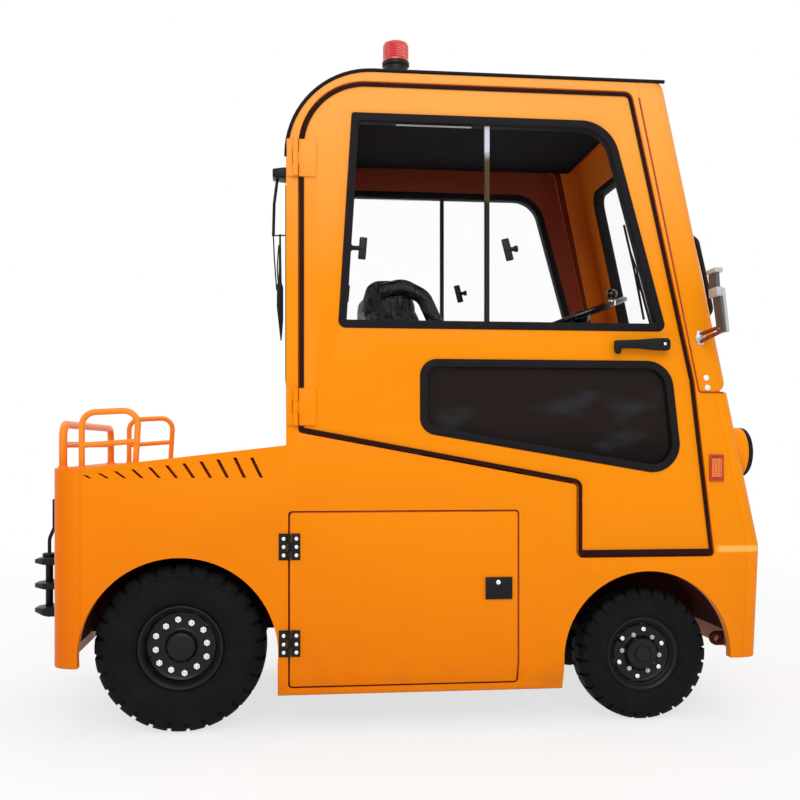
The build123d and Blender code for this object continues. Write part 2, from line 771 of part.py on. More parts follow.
def cab_door():
    """Right door: panel with its hinge leaves, rubber and handle, and panes."""
    skin, back = -body_half, -body_half + wall
    panel = slab(door_outline(), skin, back)
    upper, lower = upper_window(), lower_window()
    panel -= slab(upper, skin - 1, back + 1)
    panel -= slab(lower, skin - 1, back + 1)
    panel -= sill_wedge()
    fixed, moving = door_hinges()
    for leaf in moving:
        panel += leaf
    seal = slab(door_outline(), skin - seal_proud, skin)
    sight = slab(grown(door_outline(), -seal_w), skin - seal_proud - 1, skin + 1)
    seal -= sight - block((door_step_x, skin - 10, door_low_z), (door_front_low_x, skin + 2, door_low_z + seal_low_w))
    for z in door_hinge_z:
        seal -= block((hinge_x, skin - 10, z - hinge_h / 2 - 2), (hinge_x + 74, skin + 1, z + hinge_h / 2 + 2))
    joints = (  # x, z of the middle of each cut across the seal, and its size in x and z
        (door_rear_x + door_corner_r + 60, door_top_z, seal_cut, 60), (door_front_top_x - 60, door_top_z, seal_cut, 60),
        (door_front_low_x - 40, door_low_z, seal_cut, 60), (door_step_x + 40, door_low_z, seal_cut, 60),
        (door_step_x, door_step_z - 60, 60, seal_cut), (door_step_x - 60, door_step_z + 12, seal_cut, 60),
        (door_rear_x + 60, door_slope_z - 12, seal_cut, 60), (door_rear_x, door_slope_z + 40, 60, seal_cut),
        (door_front_low_x, door_low_z + 60, 90, seal_cut), (door_kink_x, door_kink_z, 90, seal_cut),
        (door_front_top_x, door_top_z - 60, 90, seal_cut),
    )
    for x, z, long, tall in joints:
        seal -= block((x - long / 2, skin - 10, z - tall / 2), (x + long / 2, skin + 1, z + tall / 2))
    sight_upper, sight_lower = grown(upper, -rubber_w), grown(lower, -rubber_w)
    upper_rubber = slab(upper, skin - 4, back + 4) - slab(sight_upper, skin - 5, back + 5)
    lower_rubber = slab(lower, skin - 4, back + 4) - slab(sight_lower, skin - 5, back + 5)
    middle = (skin + back) / 2
    upper_pane = slab(sight_upper, middle - glass_thick / 2, middle + glass_thick / 2)
    lower_pane = slab(sight_lower, middle - glass_thick / 2, middle + glass_thick / 2)
    grip = block((795, skin - 44, 1330), (988, skin - 28, 1364))
    grip += block((795, skin - 44, 1326), (835, skin, 1368)) + block((946, skin - 44, 1322), (988, skin, 1372))
    return panel, seal, [upper_rubber, lower_rubber, grip], [upper_pane, lower_pane]


def service_door():
    """Right service door: panel, and its black hinge leaves and lock."""
    skin, back = -body_half, -body_half + service_thick
    panel = slab(service_outline(), skin, back) - sill_wedge()
    fixed, moving = service_hinges()
    lock = block((328, skin - 6, 455), (423, skin, 532))
    return panel, moving + [lock]


def rear_guard():
    """Bent tube hoops at the rear edge of the deck and along both sides."""
    x = rear_face_x + 24
    top, mid = deck_flat_z + guard_rise, deck_flat_z + guard_mid_rise
    half = guard_half
    corners = [(x, -half, deck_flat_z), (x, -half, top), (x, half, top), (x, half, deck_flat_z)]
    hoop = bar(bent(corners, guard_bend), guard_r)
    hoop += bar([(x, -half, mid), (x, half, mid)], guard_r - 3)
    back, fore = side_guard_rear_x, side_guard_front_x
    high = deck_flat_z + side_guard_rise
    corners = [(back, 0, deck_flat_z - 5), (back, 0, high), (fore, 0, high + 10), (fore - 12, 0, deck_z(fore) - 5)]
    side = bar(bent(corners, side_guard_bend), side_guard_r)
    side += bar([(back, 0, mid - 2), (fore - 6, 0, mid + 12)], side_guard_r - 1)
    deck_solid = slab(outline([
        (rear_face_x, seam_z, 0), (rear_face_x, deck_flat_z, 0), (return_x, deck_flat_z, 0),
        (cab_rear_x, deck_rise_z, 0), (cab_rear_x, seam_z, 0),
    ]), -body_half, body_half)
    guards = [hoop]
    for s in sides.values():
        guards.append(Pos(0, s * guard_y, 0) * side - deck_solid)
    keep("rear_guard", *guards)


def hitch():
    """Three tapered plates for two coupling heights on a back plate, and the pin through them."""
    back_x = rear_face_x - 30
    throat_x = rear_face_x - 60
    tip, taper_x = hitch_tip_x, hitch_tip_x + 55
    back = block((back_x, -110, hitch_low_z - 14), (rear_face_x, 110, hitch_high_z + 14))
    side = [(back_x, hitch_low_z, 0), (taper_x, hitch_low_z, 0), (tip, hitch_low_z + 14, 0)]
    for low, high in hitch_slots:
        side += [(tip, low - 4, 0), (taper_x, low, 0), (throat_x, low, 0)]
        side += [(throat_x, high, 0), (taper_x, high, 0), (tip, high + 5, 0)]
    side += [(tip, hitch_high_z - 6, 0), (tip + 30, hitch_high_z, 0), (back_x, hitch_high_z, 0)]
    plan = make_face(Polyline(
        (back_x, -hitch_half), (tip + 38, -hitch_half), (tip, -hitch_half + 38),
        (tip, hitch_half - 38), (tip + 38, hitch_half), (back_x, hitch_half), close=True))
    jaw = slab(outline(side), -hitch_half, hitch_half)
    jaw &= extrude(Pos(0, 0, hitch_low_z) * plan, hitch_high_z - hitch_low_z)
    bore = (pin_r + 1) / math.cos(math.pi / 12)
    jaw -= rod((pin_x, 0, hitch_low_z - 1), (pin_x, 0, hitch_high_z + 1), bore, 12)
    keep("tow_hitch", back + jaw)
    seat = hitch_high_z + running_gap
    pin = rod((pin_x, 0, hitch_low_z + 4), (pin_x, 0, seat), pin_r, 12)
    pin += rod((pin_x, 0, seat), (pin_x, 0, seat + 15), 26, 16)
    handle = [(pin_x, 0, seat + 10), (pin_x, 0, seat + 70), (pin_x + 30, 0, seat + 140), (pin_x + 100, 0, seat + 150)]
    pin += bar(bent(handle, 50, 3), 7, 8)
    keep("hitch_pin", pin)


def lamps():
    """Headlamps on the nose, side markers, tail lamps and the beacon."""
    high = pillar_foot_z + 200
    solid = slab(outline([
        (1100, 400, 0), (1100, high, 0), (front_x(high), high, 0), (crease_x, crease_z, 0), (crease_x, 400, 0),
    ]), -body_half, body_half)
    sight = lamp_r - 32
    tip = rod((lamp_tip_x - 160, 0, 0), (lamp_tip_x - 6, 0, 0), sight, 24)
    shape = [
        (sight - 4, -160), (lamp_r, -160), (lamp_r, -32), (lamp_r - 10, -12), (sight + 4, 0), (sight, 0), (sight, -6),
        (sight - 4, -6),
    ]
    housing = Pos(lamp_tip_x, 0, 0) * Rot(0, 0, -90) * turned(shape, 24) + tip
    shells, lenses = [], []
    for s in sides.values():
        shells.append(Pos(0, s * lamp_y, lamp_z) * housing - solid)
        lenses.append(rod((lamp_tip_x - 6, s * lamp_y, lamp_z), (lamp_tip_x, s * lamp_y, lamp_z), sight - 0.3, 24))
    keep("headlamps", *shells)
    keep("headlamp_lenses", *lenses)
    small = []
    for s in sides.values():
        skin = s * body_half
        out = s * (body_half + 12)
        small.append(block((1146, min(skin, out), 859), (1195, max(skin, out), 961)))
        tail_y = s * (body_half - 120)
        small.append(block((rear_face_x - 16, tail_y - 45, 700), (rear_face_x, tail_y + 45, 810)))
    keep("marker_lamps", *small)
    base = rod((beacon_x, beacon_y, roof_z), (beacon_x, beacon_y, roof_z + beacon_base_h), beacon_r, 24)
    foot = roof_z + beacon_base_h
    lens = rod((beacon_x, beacon_y, foot), (beacon_x, beacon_y, foot + beacon_lens_h), beacon_r - 3, 24)
    lens = chamfer(lens.edges().group_by(Axis.Z)[-1], 9)
    keep("beacon_base", base)
    keep("beacon_lens", lens)


def mirrors():
    """Double-headed mirrors on V-shaped arms from the front pillars."""
    out = []
    for s in sides.values():
        skin = s * body_half
        root = s * (body_half + 4)
        hub = (mirror_x, s * (body_half + mirror_out), mirror_low_z + 20)
        low_y, high_y = sorted((skin, s * (body_half + 8)))
        arm = block((mirror_foot_x - 22, low_y, mirror_foot_z - 26), (mirror_foot_x + 22, high_y, mirror_foot_z + 26))
        for rise in (10, -10):
            arm += bar([(mirror_foot_x, root, mirror_foot_z + rise), hub], 7, 8)
        arm += bar([hub, (hub[0], hub[1], mirror_top_z - 10)], 8, 8)
        low_y, high_y = sorted((s * (body_half + 20), s * (body_half + 150)))
        arm += block((hub[0] - 14, low_y, mirror_low_z), (hub[0] + 14, high_y, mirror_mid_z))
        arm += block((hub[0] - 14, low_y + 15, mirror_top_low_z), (hub[0] + 14, high_y - 15, mirror_top_z))
        out.append(arm - block((mirror_foot_x - 60, -body_half, mirror_foot_z - 60),
                               (mirror_foot_x + 60, body_half, mirror_foot_z + 60)))
    keep("mirrors", *out)


def wipers():
    """Grab bars on the pillar corners, and the front and rear wipers."""
    pieces = []
    x = cab_rear_x
    corner_x, corner_z = cab_rear_x + roof_corner_r, roof_z - roof_corner_r
    rear = block((x - 56, -22, corner_z + 53), (x + 30, 22, corner_z + 97))
    rear -= rod((corner_x, -60, corner_z), (corner_x, 60, corner_z), roof_corner_r)
    rear += bar([(x - 42, 0, corner_z + 58), (x - 34, 0, corner_z - 292)], 5, 6)
    rear += block((x - 44, -8, back_low_z + 174), (x - 22, 8, back_high_z - 114))
    pieces.append(rear)
    low, high = screen_low_z + 205, screen_high_z - 175
    y = 166.0
    hub_z = screen_low_z - 40
    reach_z = (low + high) / 2 - 37
    blade = bar([(front_x(low) + 6, y, low), (front_x(high) + 6, y, high)], 7, 6)
    blade += bar([
        (front_x(reach_z) + 6, y, reach_z), (front_x(reach_z) + 14, y, reach_z - 40),
        (front_x(hub_z) + 20, y - 60, hub_z),
    ], 6, 6)
    blade += bar([(front_x(hub_z) - 6, y - 60, hub_z), (front_x(hub_z) + 28, y - 60, hub_z)], 14, 8)
    slope = slab(outline([
        (pillar_x(1200), 1200, 0), (pillar_x(roof_z), roof_z, 0), (front_x(roof_z), roof_z, 0), (front_x(1200), 1200, 0),
    ]), -body_half, body_half)
    pieces.append(blade - slope)
    for s in sides.values():
        by = s * (body_half - 80)
        grip_low, grip_high = 1480.0, 1750.0
        hand = bar([(front_x(grip_low) + 34, by, grip_low), (front_x(grip_high) + 34, by, grip_high)], 10, 8)
        for z in (grip_low + 10, grip_high - 10):
            hand += bar([(front_x(z) - 20, by, z), (front_x(z) + 34, by, z)], 9, 8)
        pieces.append(hand - slope)
    keep("wipers_and_grab_bars", *pieces)


def interior():
    """Seat with its side loops, console and steering wheel."""
    top = platform_z
    base = block((150, -190, top), (560, 190, top + 130))
    keep("seat_base", base)
    cushion = slab(outline([
        (130, 990, 0), (130, 1100, 0), (570, 1114, 0), (600, 1090, 0), (600, 1000, 0),
    ]), -240, 240)
    back = slab(outline([
        (100, 1099.04, 0), (-42, 1475, 0), (-76, 1560, 0), (-70, 1600, 0), (-40, 1622, 0), (30, 1622, 0),
        (110, 1575, 0), (142, 1475, 0), (200, 1102.23, 0),
    ]), -230, 230)
    loop = bent([(20, 0, 1500), (20, 0, 1592), (150, 0, 1560), (206, 0, 1440), (216, 0, 1102.8)], 60, 2)
    for s in sides.values():
        back += Pos(0, s * 244, 0) * bar(loop, 28, 6)
    keep("seat_cushions", cushion, back)
    console = slab(outline([
        (1010, 880, 20), (1000, 1180, 30), (1060, 1290, 20),
        (front_x(1290) - front_wall, 1290, 0), (front_x(880) - front_wall, 880, 0),
    ]), -440, 440)
    keep("dash_console", console)
    centre = Vector(828, 0, 1525)
    tilt = 20.0
    ring = Rot(90, 0, 0) * turned([(177, 0), (183, 11), (197, 11), (203, 0), (197, -11), (183, -11)], 28)
    ring += Pos(0, 0, -15) * rod((0, 0, 0), (0, 0, 30), 45, 16)
    for turn in (0, 120, 240):
        ring += Rot(0, 0, turn) * Pos(110, 0, 0) * Box(150, 26, 12)
    placed = Pos(centre.X, centre.Y, centre.Z) * Rot(0, -tilt, 0) * ring
    axis = Vector(math.sin(math.radians(-tilt)), 0, math.cos(math.radians(-tilt)))
    foot = centre - axis * 320
    column = rod(tuple(foot), tuple(centre), 28, 10)
    column += rod((1040, 0, 1240), tuple(foot + axis * 40), 30, 10)
    keep("steering_wheel", placed + (column - console))


def build():
    right_body = body_side()
    right_panel, right_seal, right_trim, right_glass = cab_door()
    right_service, right_hardware = service_door()
    fixed_leaves, moving_leaves = service_hinges()
    right_knuckle = knuckle()
    leaves = []
    for side, s in sides.items():
        def place(piece):
            return piece if s < 0 else mirror(piece, about=Plane.XZ)
        keep(f"body_side_{side}", place(right_body))
        keep(f"door_panel_{side}", place(right_panel))
        keep(f"door_seal_{side}", place(right_seal))
        keep(f"door_trim_{side}", *[place(p) for p in right_trim])
        keep(f"door_glass_{side}", *[place(p) for p in right_glass])
        keep(f"service_door_{side}", place(right_service))
        keep(f"service_hardware_{side}", *[place(p) for p in right_hardware])
        keep(f"steering_knuckle_{side}", place(right_knuckle))
        leaves += [place(p) for p in fixed_leaves]
    keep("service_hinges", *leaves)
    keep("rear_panel", rear_panel())
    keep("rear_deck", rear_deck())
    keep("nose_panel", nose_panel())
    keep("windscreen_frame", windscreen_frame())
    tow_lugs()
    keep("cab_roof", cab_roof())
    keep("cab_rear_wall", cab_rear_wall())
    keep("cab_floor", cab_floor())
    liners = []
    for x, z, radius, inner_y, notch_z in (
        (rear_axle_x, rear_arch_z, rear_arch_r, rear_liner_y, rear_tyre_r + rear_axle_r + 40),
        (front_axle_x, front_arch_z, front_arch_r, front_liner_y, front_tyre_r + front_beam_h / 2 + 70),
    ):
        right = liner(x, z, radius, inner_y, notch_z)
        liners += [right, mirror(right, about=Plane.XZ)]
    keep("arch_liners", *liners)
    battery_top = platform_z - platform_thick - 14
    keep("battery_pack", block((-250, -battery_half, rail_high_z), (430, battery_half, battery_top)))
    glazing()
    frame()
    running_gear()
    wheels()
    rear_guard()
    hitch()
    lamps()
    mirrors()
    wipers()
    interior()


build()
os.makedirs("parts", exist_ok=True)
for name, shape in parts.items():
    export_step(shape, f"parts/{name}.step")
print(len(parts), "sub-parts")
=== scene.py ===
import bpy
import json
import math
from mathutils import Matrix, Vector


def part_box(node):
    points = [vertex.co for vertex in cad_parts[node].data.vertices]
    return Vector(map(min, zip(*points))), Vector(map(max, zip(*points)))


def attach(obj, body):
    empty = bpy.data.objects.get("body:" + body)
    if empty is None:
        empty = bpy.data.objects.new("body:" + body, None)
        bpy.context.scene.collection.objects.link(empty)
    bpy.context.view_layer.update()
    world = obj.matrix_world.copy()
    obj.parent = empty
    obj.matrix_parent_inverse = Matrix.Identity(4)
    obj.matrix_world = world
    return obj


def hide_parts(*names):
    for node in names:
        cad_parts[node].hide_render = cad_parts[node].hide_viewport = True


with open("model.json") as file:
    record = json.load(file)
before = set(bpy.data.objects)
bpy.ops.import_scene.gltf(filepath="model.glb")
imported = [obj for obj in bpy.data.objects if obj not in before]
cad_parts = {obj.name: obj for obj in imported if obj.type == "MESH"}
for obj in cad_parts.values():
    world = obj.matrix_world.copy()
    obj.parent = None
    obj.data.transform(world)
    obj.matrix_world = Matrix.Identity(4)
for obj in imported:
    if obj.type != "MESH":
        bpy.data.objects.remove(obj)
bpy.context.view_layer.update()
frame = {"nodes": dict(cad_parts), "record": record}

nodes = frame["nodes"]
bodyOf = {n: b for b, ns in frame["record"]["behaviour"]["bodies"].items() for n in ns}
slotOf = {s["node"]: s["material_slot"] for s in frame["record"]["subparts"]}
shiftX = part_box("nose_panel")[1].x - 1.347  # the part's numbers are measured from a line near the middle
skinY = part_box("nose_panel")[1].y
mirrorY = Matrix.Diagonal((1, -1, 1, 1))
frontFoldX, frontFoldZ, frontLean = 1347, 627, 0.21862  # where the front face starts to lean back, and its slope
weldGap = 0.00002


def at(x, y, z):  # a place in metres from the part's own millimetres
    return Vector((x / 1000 + shiftX, y / 1000, z / 1000))


class Val:  # one socket; arithmetic on it adds Math nodes
    def __init__(self, paint, socket):
        self.paint = paint
        self.socket = socket

    def op(self, operation, a, b=None):
        sockets = {k: v for k, v in enumerate((a, b)) if v is not None}
        return self.paint.add("ShaderNodeMath", {"operation": operation}, sockets)

    def __add__(self, other): return self.op("ADD", self, other)
    def __radd__(self, other): return self.op("ADD", other, self)
    def __sub__(self, other): return self.op("SUBTRACT", self, other)
    def __rsub__(self, other): return self.op("SUBTRACT", other, self)
    def __mul__(self, other): return self.op("MULTIPLY", self, other)
    def __rmul__(self, other): return self.op("MULTIPLY", other, self)
    def __pow__(self, other): return self.op("POWER", self, other)

    def below(self, edge): return self.op("LESS_THAN", self, edge)
    def above(self, edge): return self.op("GREATER_THAN", self, edge)
    def wave(self): return self.op("SINE", self)
    def size(self): return self.op("ABSOLUTE", self)
    def atLeast(self, low): return self.op("MAXIMUM", self, low)

    def ramp(self, low, high, toLow=0.0, toHigh=1.0):
        return self.paint.add("ShaderNodeMapRange", {"clamp": True}, {0: self, 1: low, 2: high, 3: toLow, 4: toHigh})


class Paint:  # one material: its Principled shader, and the nodes that feed it
    names = {"base": "Base Color", "rough": "Roughness", "metal": "Metallic", "coat": "Coat Weight",
             "coatRough": "Coat Roughness", "normal": "Normal", "alpha": "Alpha", "spec": "Specular IOR Level",
             "glow": "Emission Color", "glowPower": "Emission Strength"}

    def __init__(self, name):
        self.material = bpy.data.materials.new(name)
        self.material.use_nodes = True
        self.tree = self.material.node_tree
        self.shader = self.tree.nodes["Principled BSDF"]

    def add(self, kind, settings=None, sockets=None, out=0):
        node = self.tree.nodes.new(kind)
        for key, value in (settings or {}).items():
            setattr(node, key, value)
        for key, value in (sockets or {}).items():
            if isinstance(value, Val):
                self.tree.links.new(value.socket, node.inputs[key])
            else:
                if isinstance(value, tuple) and len(value) == 3 and len(node.inputs[key].default_value) == 4:
                    value = (*value, 1)
                node.inputs[key].default_value = value
        return Val(self, node.outputs[out])

    def spot(self):
        return self.add("ShaderNodeTexCoord", out="Object")

    def axis(self, letter):
        return self.add("ShaderNodeSeparateXYZ", {}, {0: self.spot()}, out=letter)

    def noise(self, scale, detail=3.0, rough=0.55, stretch=(1, 1, 1)):
        place = self.spot()
        if stretch != (1, 1, 1):
            place = self.add("ShaderNodeMapping", {}, {"Vector": place, "Scale": stretch})
        return self.add("ShaderNodeTexNoise", {}, {"Vector": place, "Scale": scale, "Detail": detail,
                                                   "Roughness": rough})

    def mix(self, factor, a, b):
        return self.add("ShaderNodeMix", {"data_type": "RGBA"}, {0: factor, 6: a, 7: b}, out=2)

    def bump(self, height, strength, distance=0.001):
        return self.add("ShaderNodeBump", {}, {"Height": height, "Strength": strength, "Distance": distance})

    def finish(self, **sockets):
        for key, value in sockets.items():
            socket = self.shader.inputs[self.names[key]]
            if isinstance(value, Val):
                self.tree.links.new(value.socket, socket)
            else:
                socket.default_value = (*value, 1) if isinstance(value, tuple) else value
        return self.material


def insideCab(p):  # faces turned to the cab: within its side walls, its round rear corner and its sloping front
    x, z = p.axis("X"), p.axis("Z")
    back = (shiftX - 0.066 - x).atLeast(0.0)
    up = (z - 1.992).atLeast(0.0)
    shell = (back * back + up * up).below(0.0798)
    front = (x + z * frontLean).below(shiftX + (frontFoldX + frontFoldZ * frontLean - 18) / 1000)
    return p.axis("Y").size().below(skinY - 0.0335) * shell * front * z.above(0.64)


# faces within the body's side walls, which sideOrange paints dark red as painted shade
def insideBody(p):
    x = p.axis("X")
    return p.axis("Y").size().below(skinY - 0.0335) * x.above(-1.11) * x.below(1.27)


# orangeShade is the orange's painted shade
orangeTone, orangeShade = (0.95, 0.29, 0.003), (0.85, 0.19, 0.001)


def paintedSheet(name, colour=orangeTone, low=orangeShade, rough=0.34, inside=None, spec=0.06, where=insideCab):
    # gloss enamel, with painted shade that deepens it low down, to the rear and on the rear corner, a painted
    # highlight near the roof and along the front crease, and road dust at the sill
    p = Paint(name)
    broad = p.noise(1.3, 2.0)
    fine = p.noise(190.0, 2.0)
    height = p.axis("Z")
    # painted shade: the orange goes deeper low down and towards the rear, mixed with broad random tone
    depth = height.ramp(0.15, 1.1) * 0.6 + p.axis("X").ramp(-1.1, 0.9) * 0.4 + broad * 0.2
    tone = p.mix(depth.ramp(0.1, 1.0), low, colour)
    # painted highlight: pale peach near the roof stands for the gloss's reflection
    tone = p.mix(height.ramp(1.55, 2.25) * 0.62, tone, (0.94, 0.46, 0.12))
    length = p.axis("X")
    # painted shade: darker, deeper orange on the round rear corner, which faces away from the light
    tone = p.mix(length.ramp(-1.04, -1.12) * height.ramp(1.0, 0.9) * 0.55, tone, (0.78, 0.14, 0.0))
    # painted highlight: a pale band along the fold where the front face starts to lean back
    creaseHighlight = height.ramp(0.607, 0.614) * height.ramp(0.637, 0.629) * length.ramp(1.155, 1.175)
    tone = p.mix(creaseHighlight * 0.75, tone, (1.0, 0.58, 0.13))
    dust = p.noise(9.0, 5.0).ramp(0.5, 0.78) * height.ramp(0.5, 0.14) * 0.22
    tone = p.mix(dust, tone, (0.26, 0.12, 0.04))
    if inside:  # the faces turned to the cab's inside take the inside colour; the dark red that cabOrange and sideOrange put there is painted shade
        tone = p.mix(where(p), tone, inside)
    return p.finish(base=tone, rough=rough + fine * 0.06 + dust * 0.8, spec=spec, coat=0.02, coatRough=0.1,
                    normal=p.bump(broad * 0.5 + fine * 0.02, 0.1, 0.003))


def enamel(name, colour, rough=0.42, wear=(0.1, 0.095, 0.09), spec=0.35):
    p = Paint(name)  # satin enamel over steel with small chips and rubbed spots
    grain = p.noise(260.0, 3.0)
    patch = p.noise(9.0, 4.0).ramp(0.58, 0.8)
    chip = p.noise(85.0, 2.0).ramp(0.7, 0.74)
    tone = p.mix(patch * 0.25 + chip * 0.3, colour, wear)
    return p.finish(base=tone, rough=rough + patch * 0.15 + grain * 0.06, spec=spec,
                    normal=p.bump(grain, 0.12, 0.0006))


def bareMetal(name, colour, rough=0.25):
    p = Paint(name)  # brushed steel with stains
    brushed = p.noise(420.0, 3.0, 0.6, (1, 1, 0.08))
    stain = p.noise(22.0, 4.0).ramp(0.5, 0.8)
    tone = p.mix(stain * 0.3, colour, tuple(c * 0.6 for c in colour))
    return p.finish(base=tone, rough=rough + brushed * 0.12 + stain * 0.12, metal=1.0,
                    normal=p.bump(brushed, 0.08, 0.0004))


def rubber(name, colour, rough=0.6, dust=0.2, spec=0.25):
    p = Paint(name)
    fine = p.noise(350.0, 2.0)
    patch = p.noise(12.0, 4.0).ramp(0.45, 0.8)
    tone = p.mix(patch * dust, colour, tuple(c * 2.0 + 0.012 for c in colour))
    return p.finish(base=tone, rough=rough + patch * 0.12 + fine * 0.05, spec=spec, normal=p.bump(fine, 0.15, 0.0005))


def moulded(name, colour, rough=0.45, grainScale=480.0, spec=0.35):
    p = Paint(name)  # moulded plastic with a fine leather grain
    grain = p.add("ShaderNodeTexVoronoi", {"feature": "SMOOTH_F1"}, {"Vector": p.spot(), "Scale": grainScale})
    patch = p.noise(6.0, 3.0).ramp(0.4, 0.8)
    tone = p.mix(patch * 0.3, colour, tuple(c * 1.5 + 0.006 for c in colour))
    return p.finish(base=tone, rough=rough + patch * 0.1, spec=spec, normal=p.bump(grain, 0.18, 0.0006))


def creasedVinyl(name, colour):
    p = Paint(name)  # glossy vinyl drawn into folds that run down the pad, its colour lighter on the fold crests as a painted sheen
    folds = p.noise(19.0, 5.0, 0.65, (0.8, 1.5, 0.4))
    grain = p.add("ShaderNodeTexVoronoi", {"feature": "SMOOTH_F1"}, {"Vector": p.spot(), "Scale": 420.0})
    tone = p.mix(folds.ramp(0.55, 0.75), colour, tuple(c * 1.6 + 0.003 for c in colour))
    return p.finish(base=tone, rough=0.1 + folds * 0.3, spec=0.32,
                    normal=p.bump(folds + grain * 0.015, 1.0, 0.03))


def pane(name, colour, alpha=0.03, edge=0.3, rough=0.03):
    p = Paint(name)  # a pane shows more of itself at a low angle
    smear = p.noise(3.0, 4.0, 0.6, (1, 1, 2.5)).ramp(0.5, 0.9)
    slant = p.add("ShaderNodeLayerWeight", {}, {"Blend": 0.35}, out="Facing")
    return p.finish(base=colour, rough=rough + smear * 0.05, alpha=alpha + smear * 0.006 + slant ** 4.0 * edge,
                    spec=0.3)


def smokedPane(name, colour):
    p = Paint(name)  # dark glass with soft brownish and grey reflections of a yard
    broad = p.noise(3.2, 3.0, 0.5, (1, 1, 0.8))
    band = (p.axis("Z") * 1.0 + broad * 0.18).ramp(1.0, 1.16)
    tone = p.mix(band * 0.3, colour, (0.05, 0.03, 0.02))
    streak = p.noise(3.4, 2.0, 0.5, (1, 1, 2.2)).ramp(0.58, 0.7)
    tone = p.mix(streak * 0.3, tone, (0.05, 0.065, 0.085))
    return p.finish(base=tone, rough=0.06 + broad * 0.1, alpha=0.94, spec=0.06)


def ribbedLens(name, colour, rib=260.0, rough=0.12, glow=0.0, coat=1.0):
    p = Paint(name)  # clear coloured plastic with fine moulded ribs; its colour darkens along the ribs as painted shade and at random, and any glow is painted light
    ribs = (p.axis("Z") * rib).wave() * 0.5 + 0.5
    deep = p.noise(18.0, 2.0).ramp(0.3, 0.8)
    tone = p.mix(deep * 0.4 + ribs * 0.15, colour, tuple(c * 0.5 for c in colour))
    return p.finish(base=tone, rough=rough + deep * 0.05, coat=coat, coatRough=0.03, glow=colour, glowPower=glow,
                    normal=p.bump(ribs, 0.25, 0.001))


finishes = {
    "orange": paintedSheet("bodyOrange"),
    # painted shade: dark red on the faces turned to the cab's inside
    "cabOrange": paintedSheet("cabOrange", inside=(0.3, 0.045, 0.018)),
    # painted shade: dark red on the faces within the body's side walls
    "sideOrange": paintedSheet("sideOrange", inside=(0.2, 0.02, 0.008), where=insideBody),
    # painted shade: a darker orange for the inner paint, as it is seen in the shade of the inside
    "innerOrange": paintedSheet("innerOrange", (0.4, 0.1, 0.01), (0.3, 0.07, 0.008), 0.45),
    # painted shade: the orange inner fenders, in the shade of the arches, are painted a nearly black red
    "linerShade": enamel("linerPaintedShade", (0.035, 0.004, 0.002), 0.7, (0.05, 0.01, 0.006), 0.06),
    "chassisBlack": enamel("chassisBlack", (0.012, 0.011, 0.011), 0.55, (0.04, 0.03, 0.024), 0.15),
    "black": enamel("satinBlack", (0.006, 0.006, 0.007), 0.38, (0.03, 0.03, 0.03), 0.18),
    "wheelBlack": enamel("wheelBlack", (0.004, 0.005, 0.007), 0.28, (0.016, 0.02, 0.024), 0.22),
    "steel": bareMetal("wornSteel", (0.55, 0.54, 0.52), 0.32),
    "bright": bareMetal("brightPlate", (0.9, 0.89, 0.87), 0.2),
    "doorSeal": rubber("doorSealRubber", (0.02, 0.0045, 0.0045), 0.6, 0.2, 0.08),
    # painted shade: the lugs carry the nose's orange but sit in the arch's shade, so they are painted brown-red
    "lugRed": enamel("lugRed", (0.09, 0.02, 0.01), 0.6, (0.14, 0.05, 0.03), 0.1),
    "rubber": rubber("sealRubber", (0.008, 0.0065, 0.008), 0.6, 0.2, 0.12),
    "tyre": rubber("tyreRubber", (0.0045, 0.0045, 0.0055), 0.62, 0.35, 0.1),
    "glass": pane("clearPane", (0.03, 0.034, 0.036), 0.006, 0.2),
    "darkGlass": smokedPane("smokedPane", (0.004, 0.0035, 0.0045)),
    "mirrorGlass": bareMetal("mirrorGlass", (0.8, 0.82, 0.84), 0.03),
    "darkMirror": enamel("darkMirror", (0.085, 0.082, 0.074), 0.34, (0.12, 0.12, 0.12), 0.2),
    "palePaint": enamel("palePaint", (0.5, 0.5, 0.48), 0.3, (0.3, 0.3, 0.3)),
    "grey": moulded("greyPlastic", (0.09, 0.095, 0.1), 0.4),
    "plastic": moulded("blackPlastic", (0.008, 0.008, 0.009), 0.42, 480.0, 0.2),
    "lining": moulded("blackLining", (0.017, 0.015, 0.02), 0.85, 160.0, 0.05),
    "vinyl": creasedVinyl("seatVinyl", (0.005, 0.007, 0.006)),
    # painted light: the red and orange lenses glow faintly, the rear reflectors too
    "redLens": ribbedLens("beaconRed", (0.62, 0.006, 0.012), 260.0, 0.12, 0.12),
    "amberLens": ribbedLens("markerOrange", (0.9, 0.2, 0.012), 900.0, 0.25, 0.05, 0.1),
    "clearLens": ribbedLens("lampClear", (0.75, 0.75, 0.75), 700.0),
    "battery": enamel("caseGrey", (0.05, 0.05, 0.055), 0.5),
}
slotFinish = {
    "body_paint": "orange", "inner_paint": "innerOrange", "liner_paint": "linerShade", "chassis_paint": "chassisBlack",
    "battery_case": "battery", "black_metal": "black", "black_rubber": "rubber", "tyre_rubber": "tyre",
    "clear_glass": "glass", "grey_plastic": "grey", "black_plastic": "plastic", "seat_vinyl": "vinyl",
    "red_lens": "redLens", "amber_lens": "amberLens", "lamp_lens": "clearLens",
}
finishSlot = {finish: slot for slot, finish in slotFinish.items()}
for slot, more in (("black_metal", ("wheelBlack", "bright", "steel", "stile")),
                   ("body_paint", ("seam", "baffle", "rail")),
                   ("grey_plastic", ("palePaint", "darkMirror", "armRed")),
                   ("lamp_lens", ("mirrorGlass", "lampPane")),
                   ("black_plastic", ("lining", "dial", "gloss")), ("clear_glass", ("darkGlass",)),
                   ("amber_lens", ("markerCase",))):
    finishSlot.update(dict.fromkeys(more, slot))
for nodeName, node in nodes.items():
    for holder in node.material_slots:
        holder.material = finishes[slotFinish[slotOf[nodeName]]]
print("finishes set on", len(nodes), "nodes")


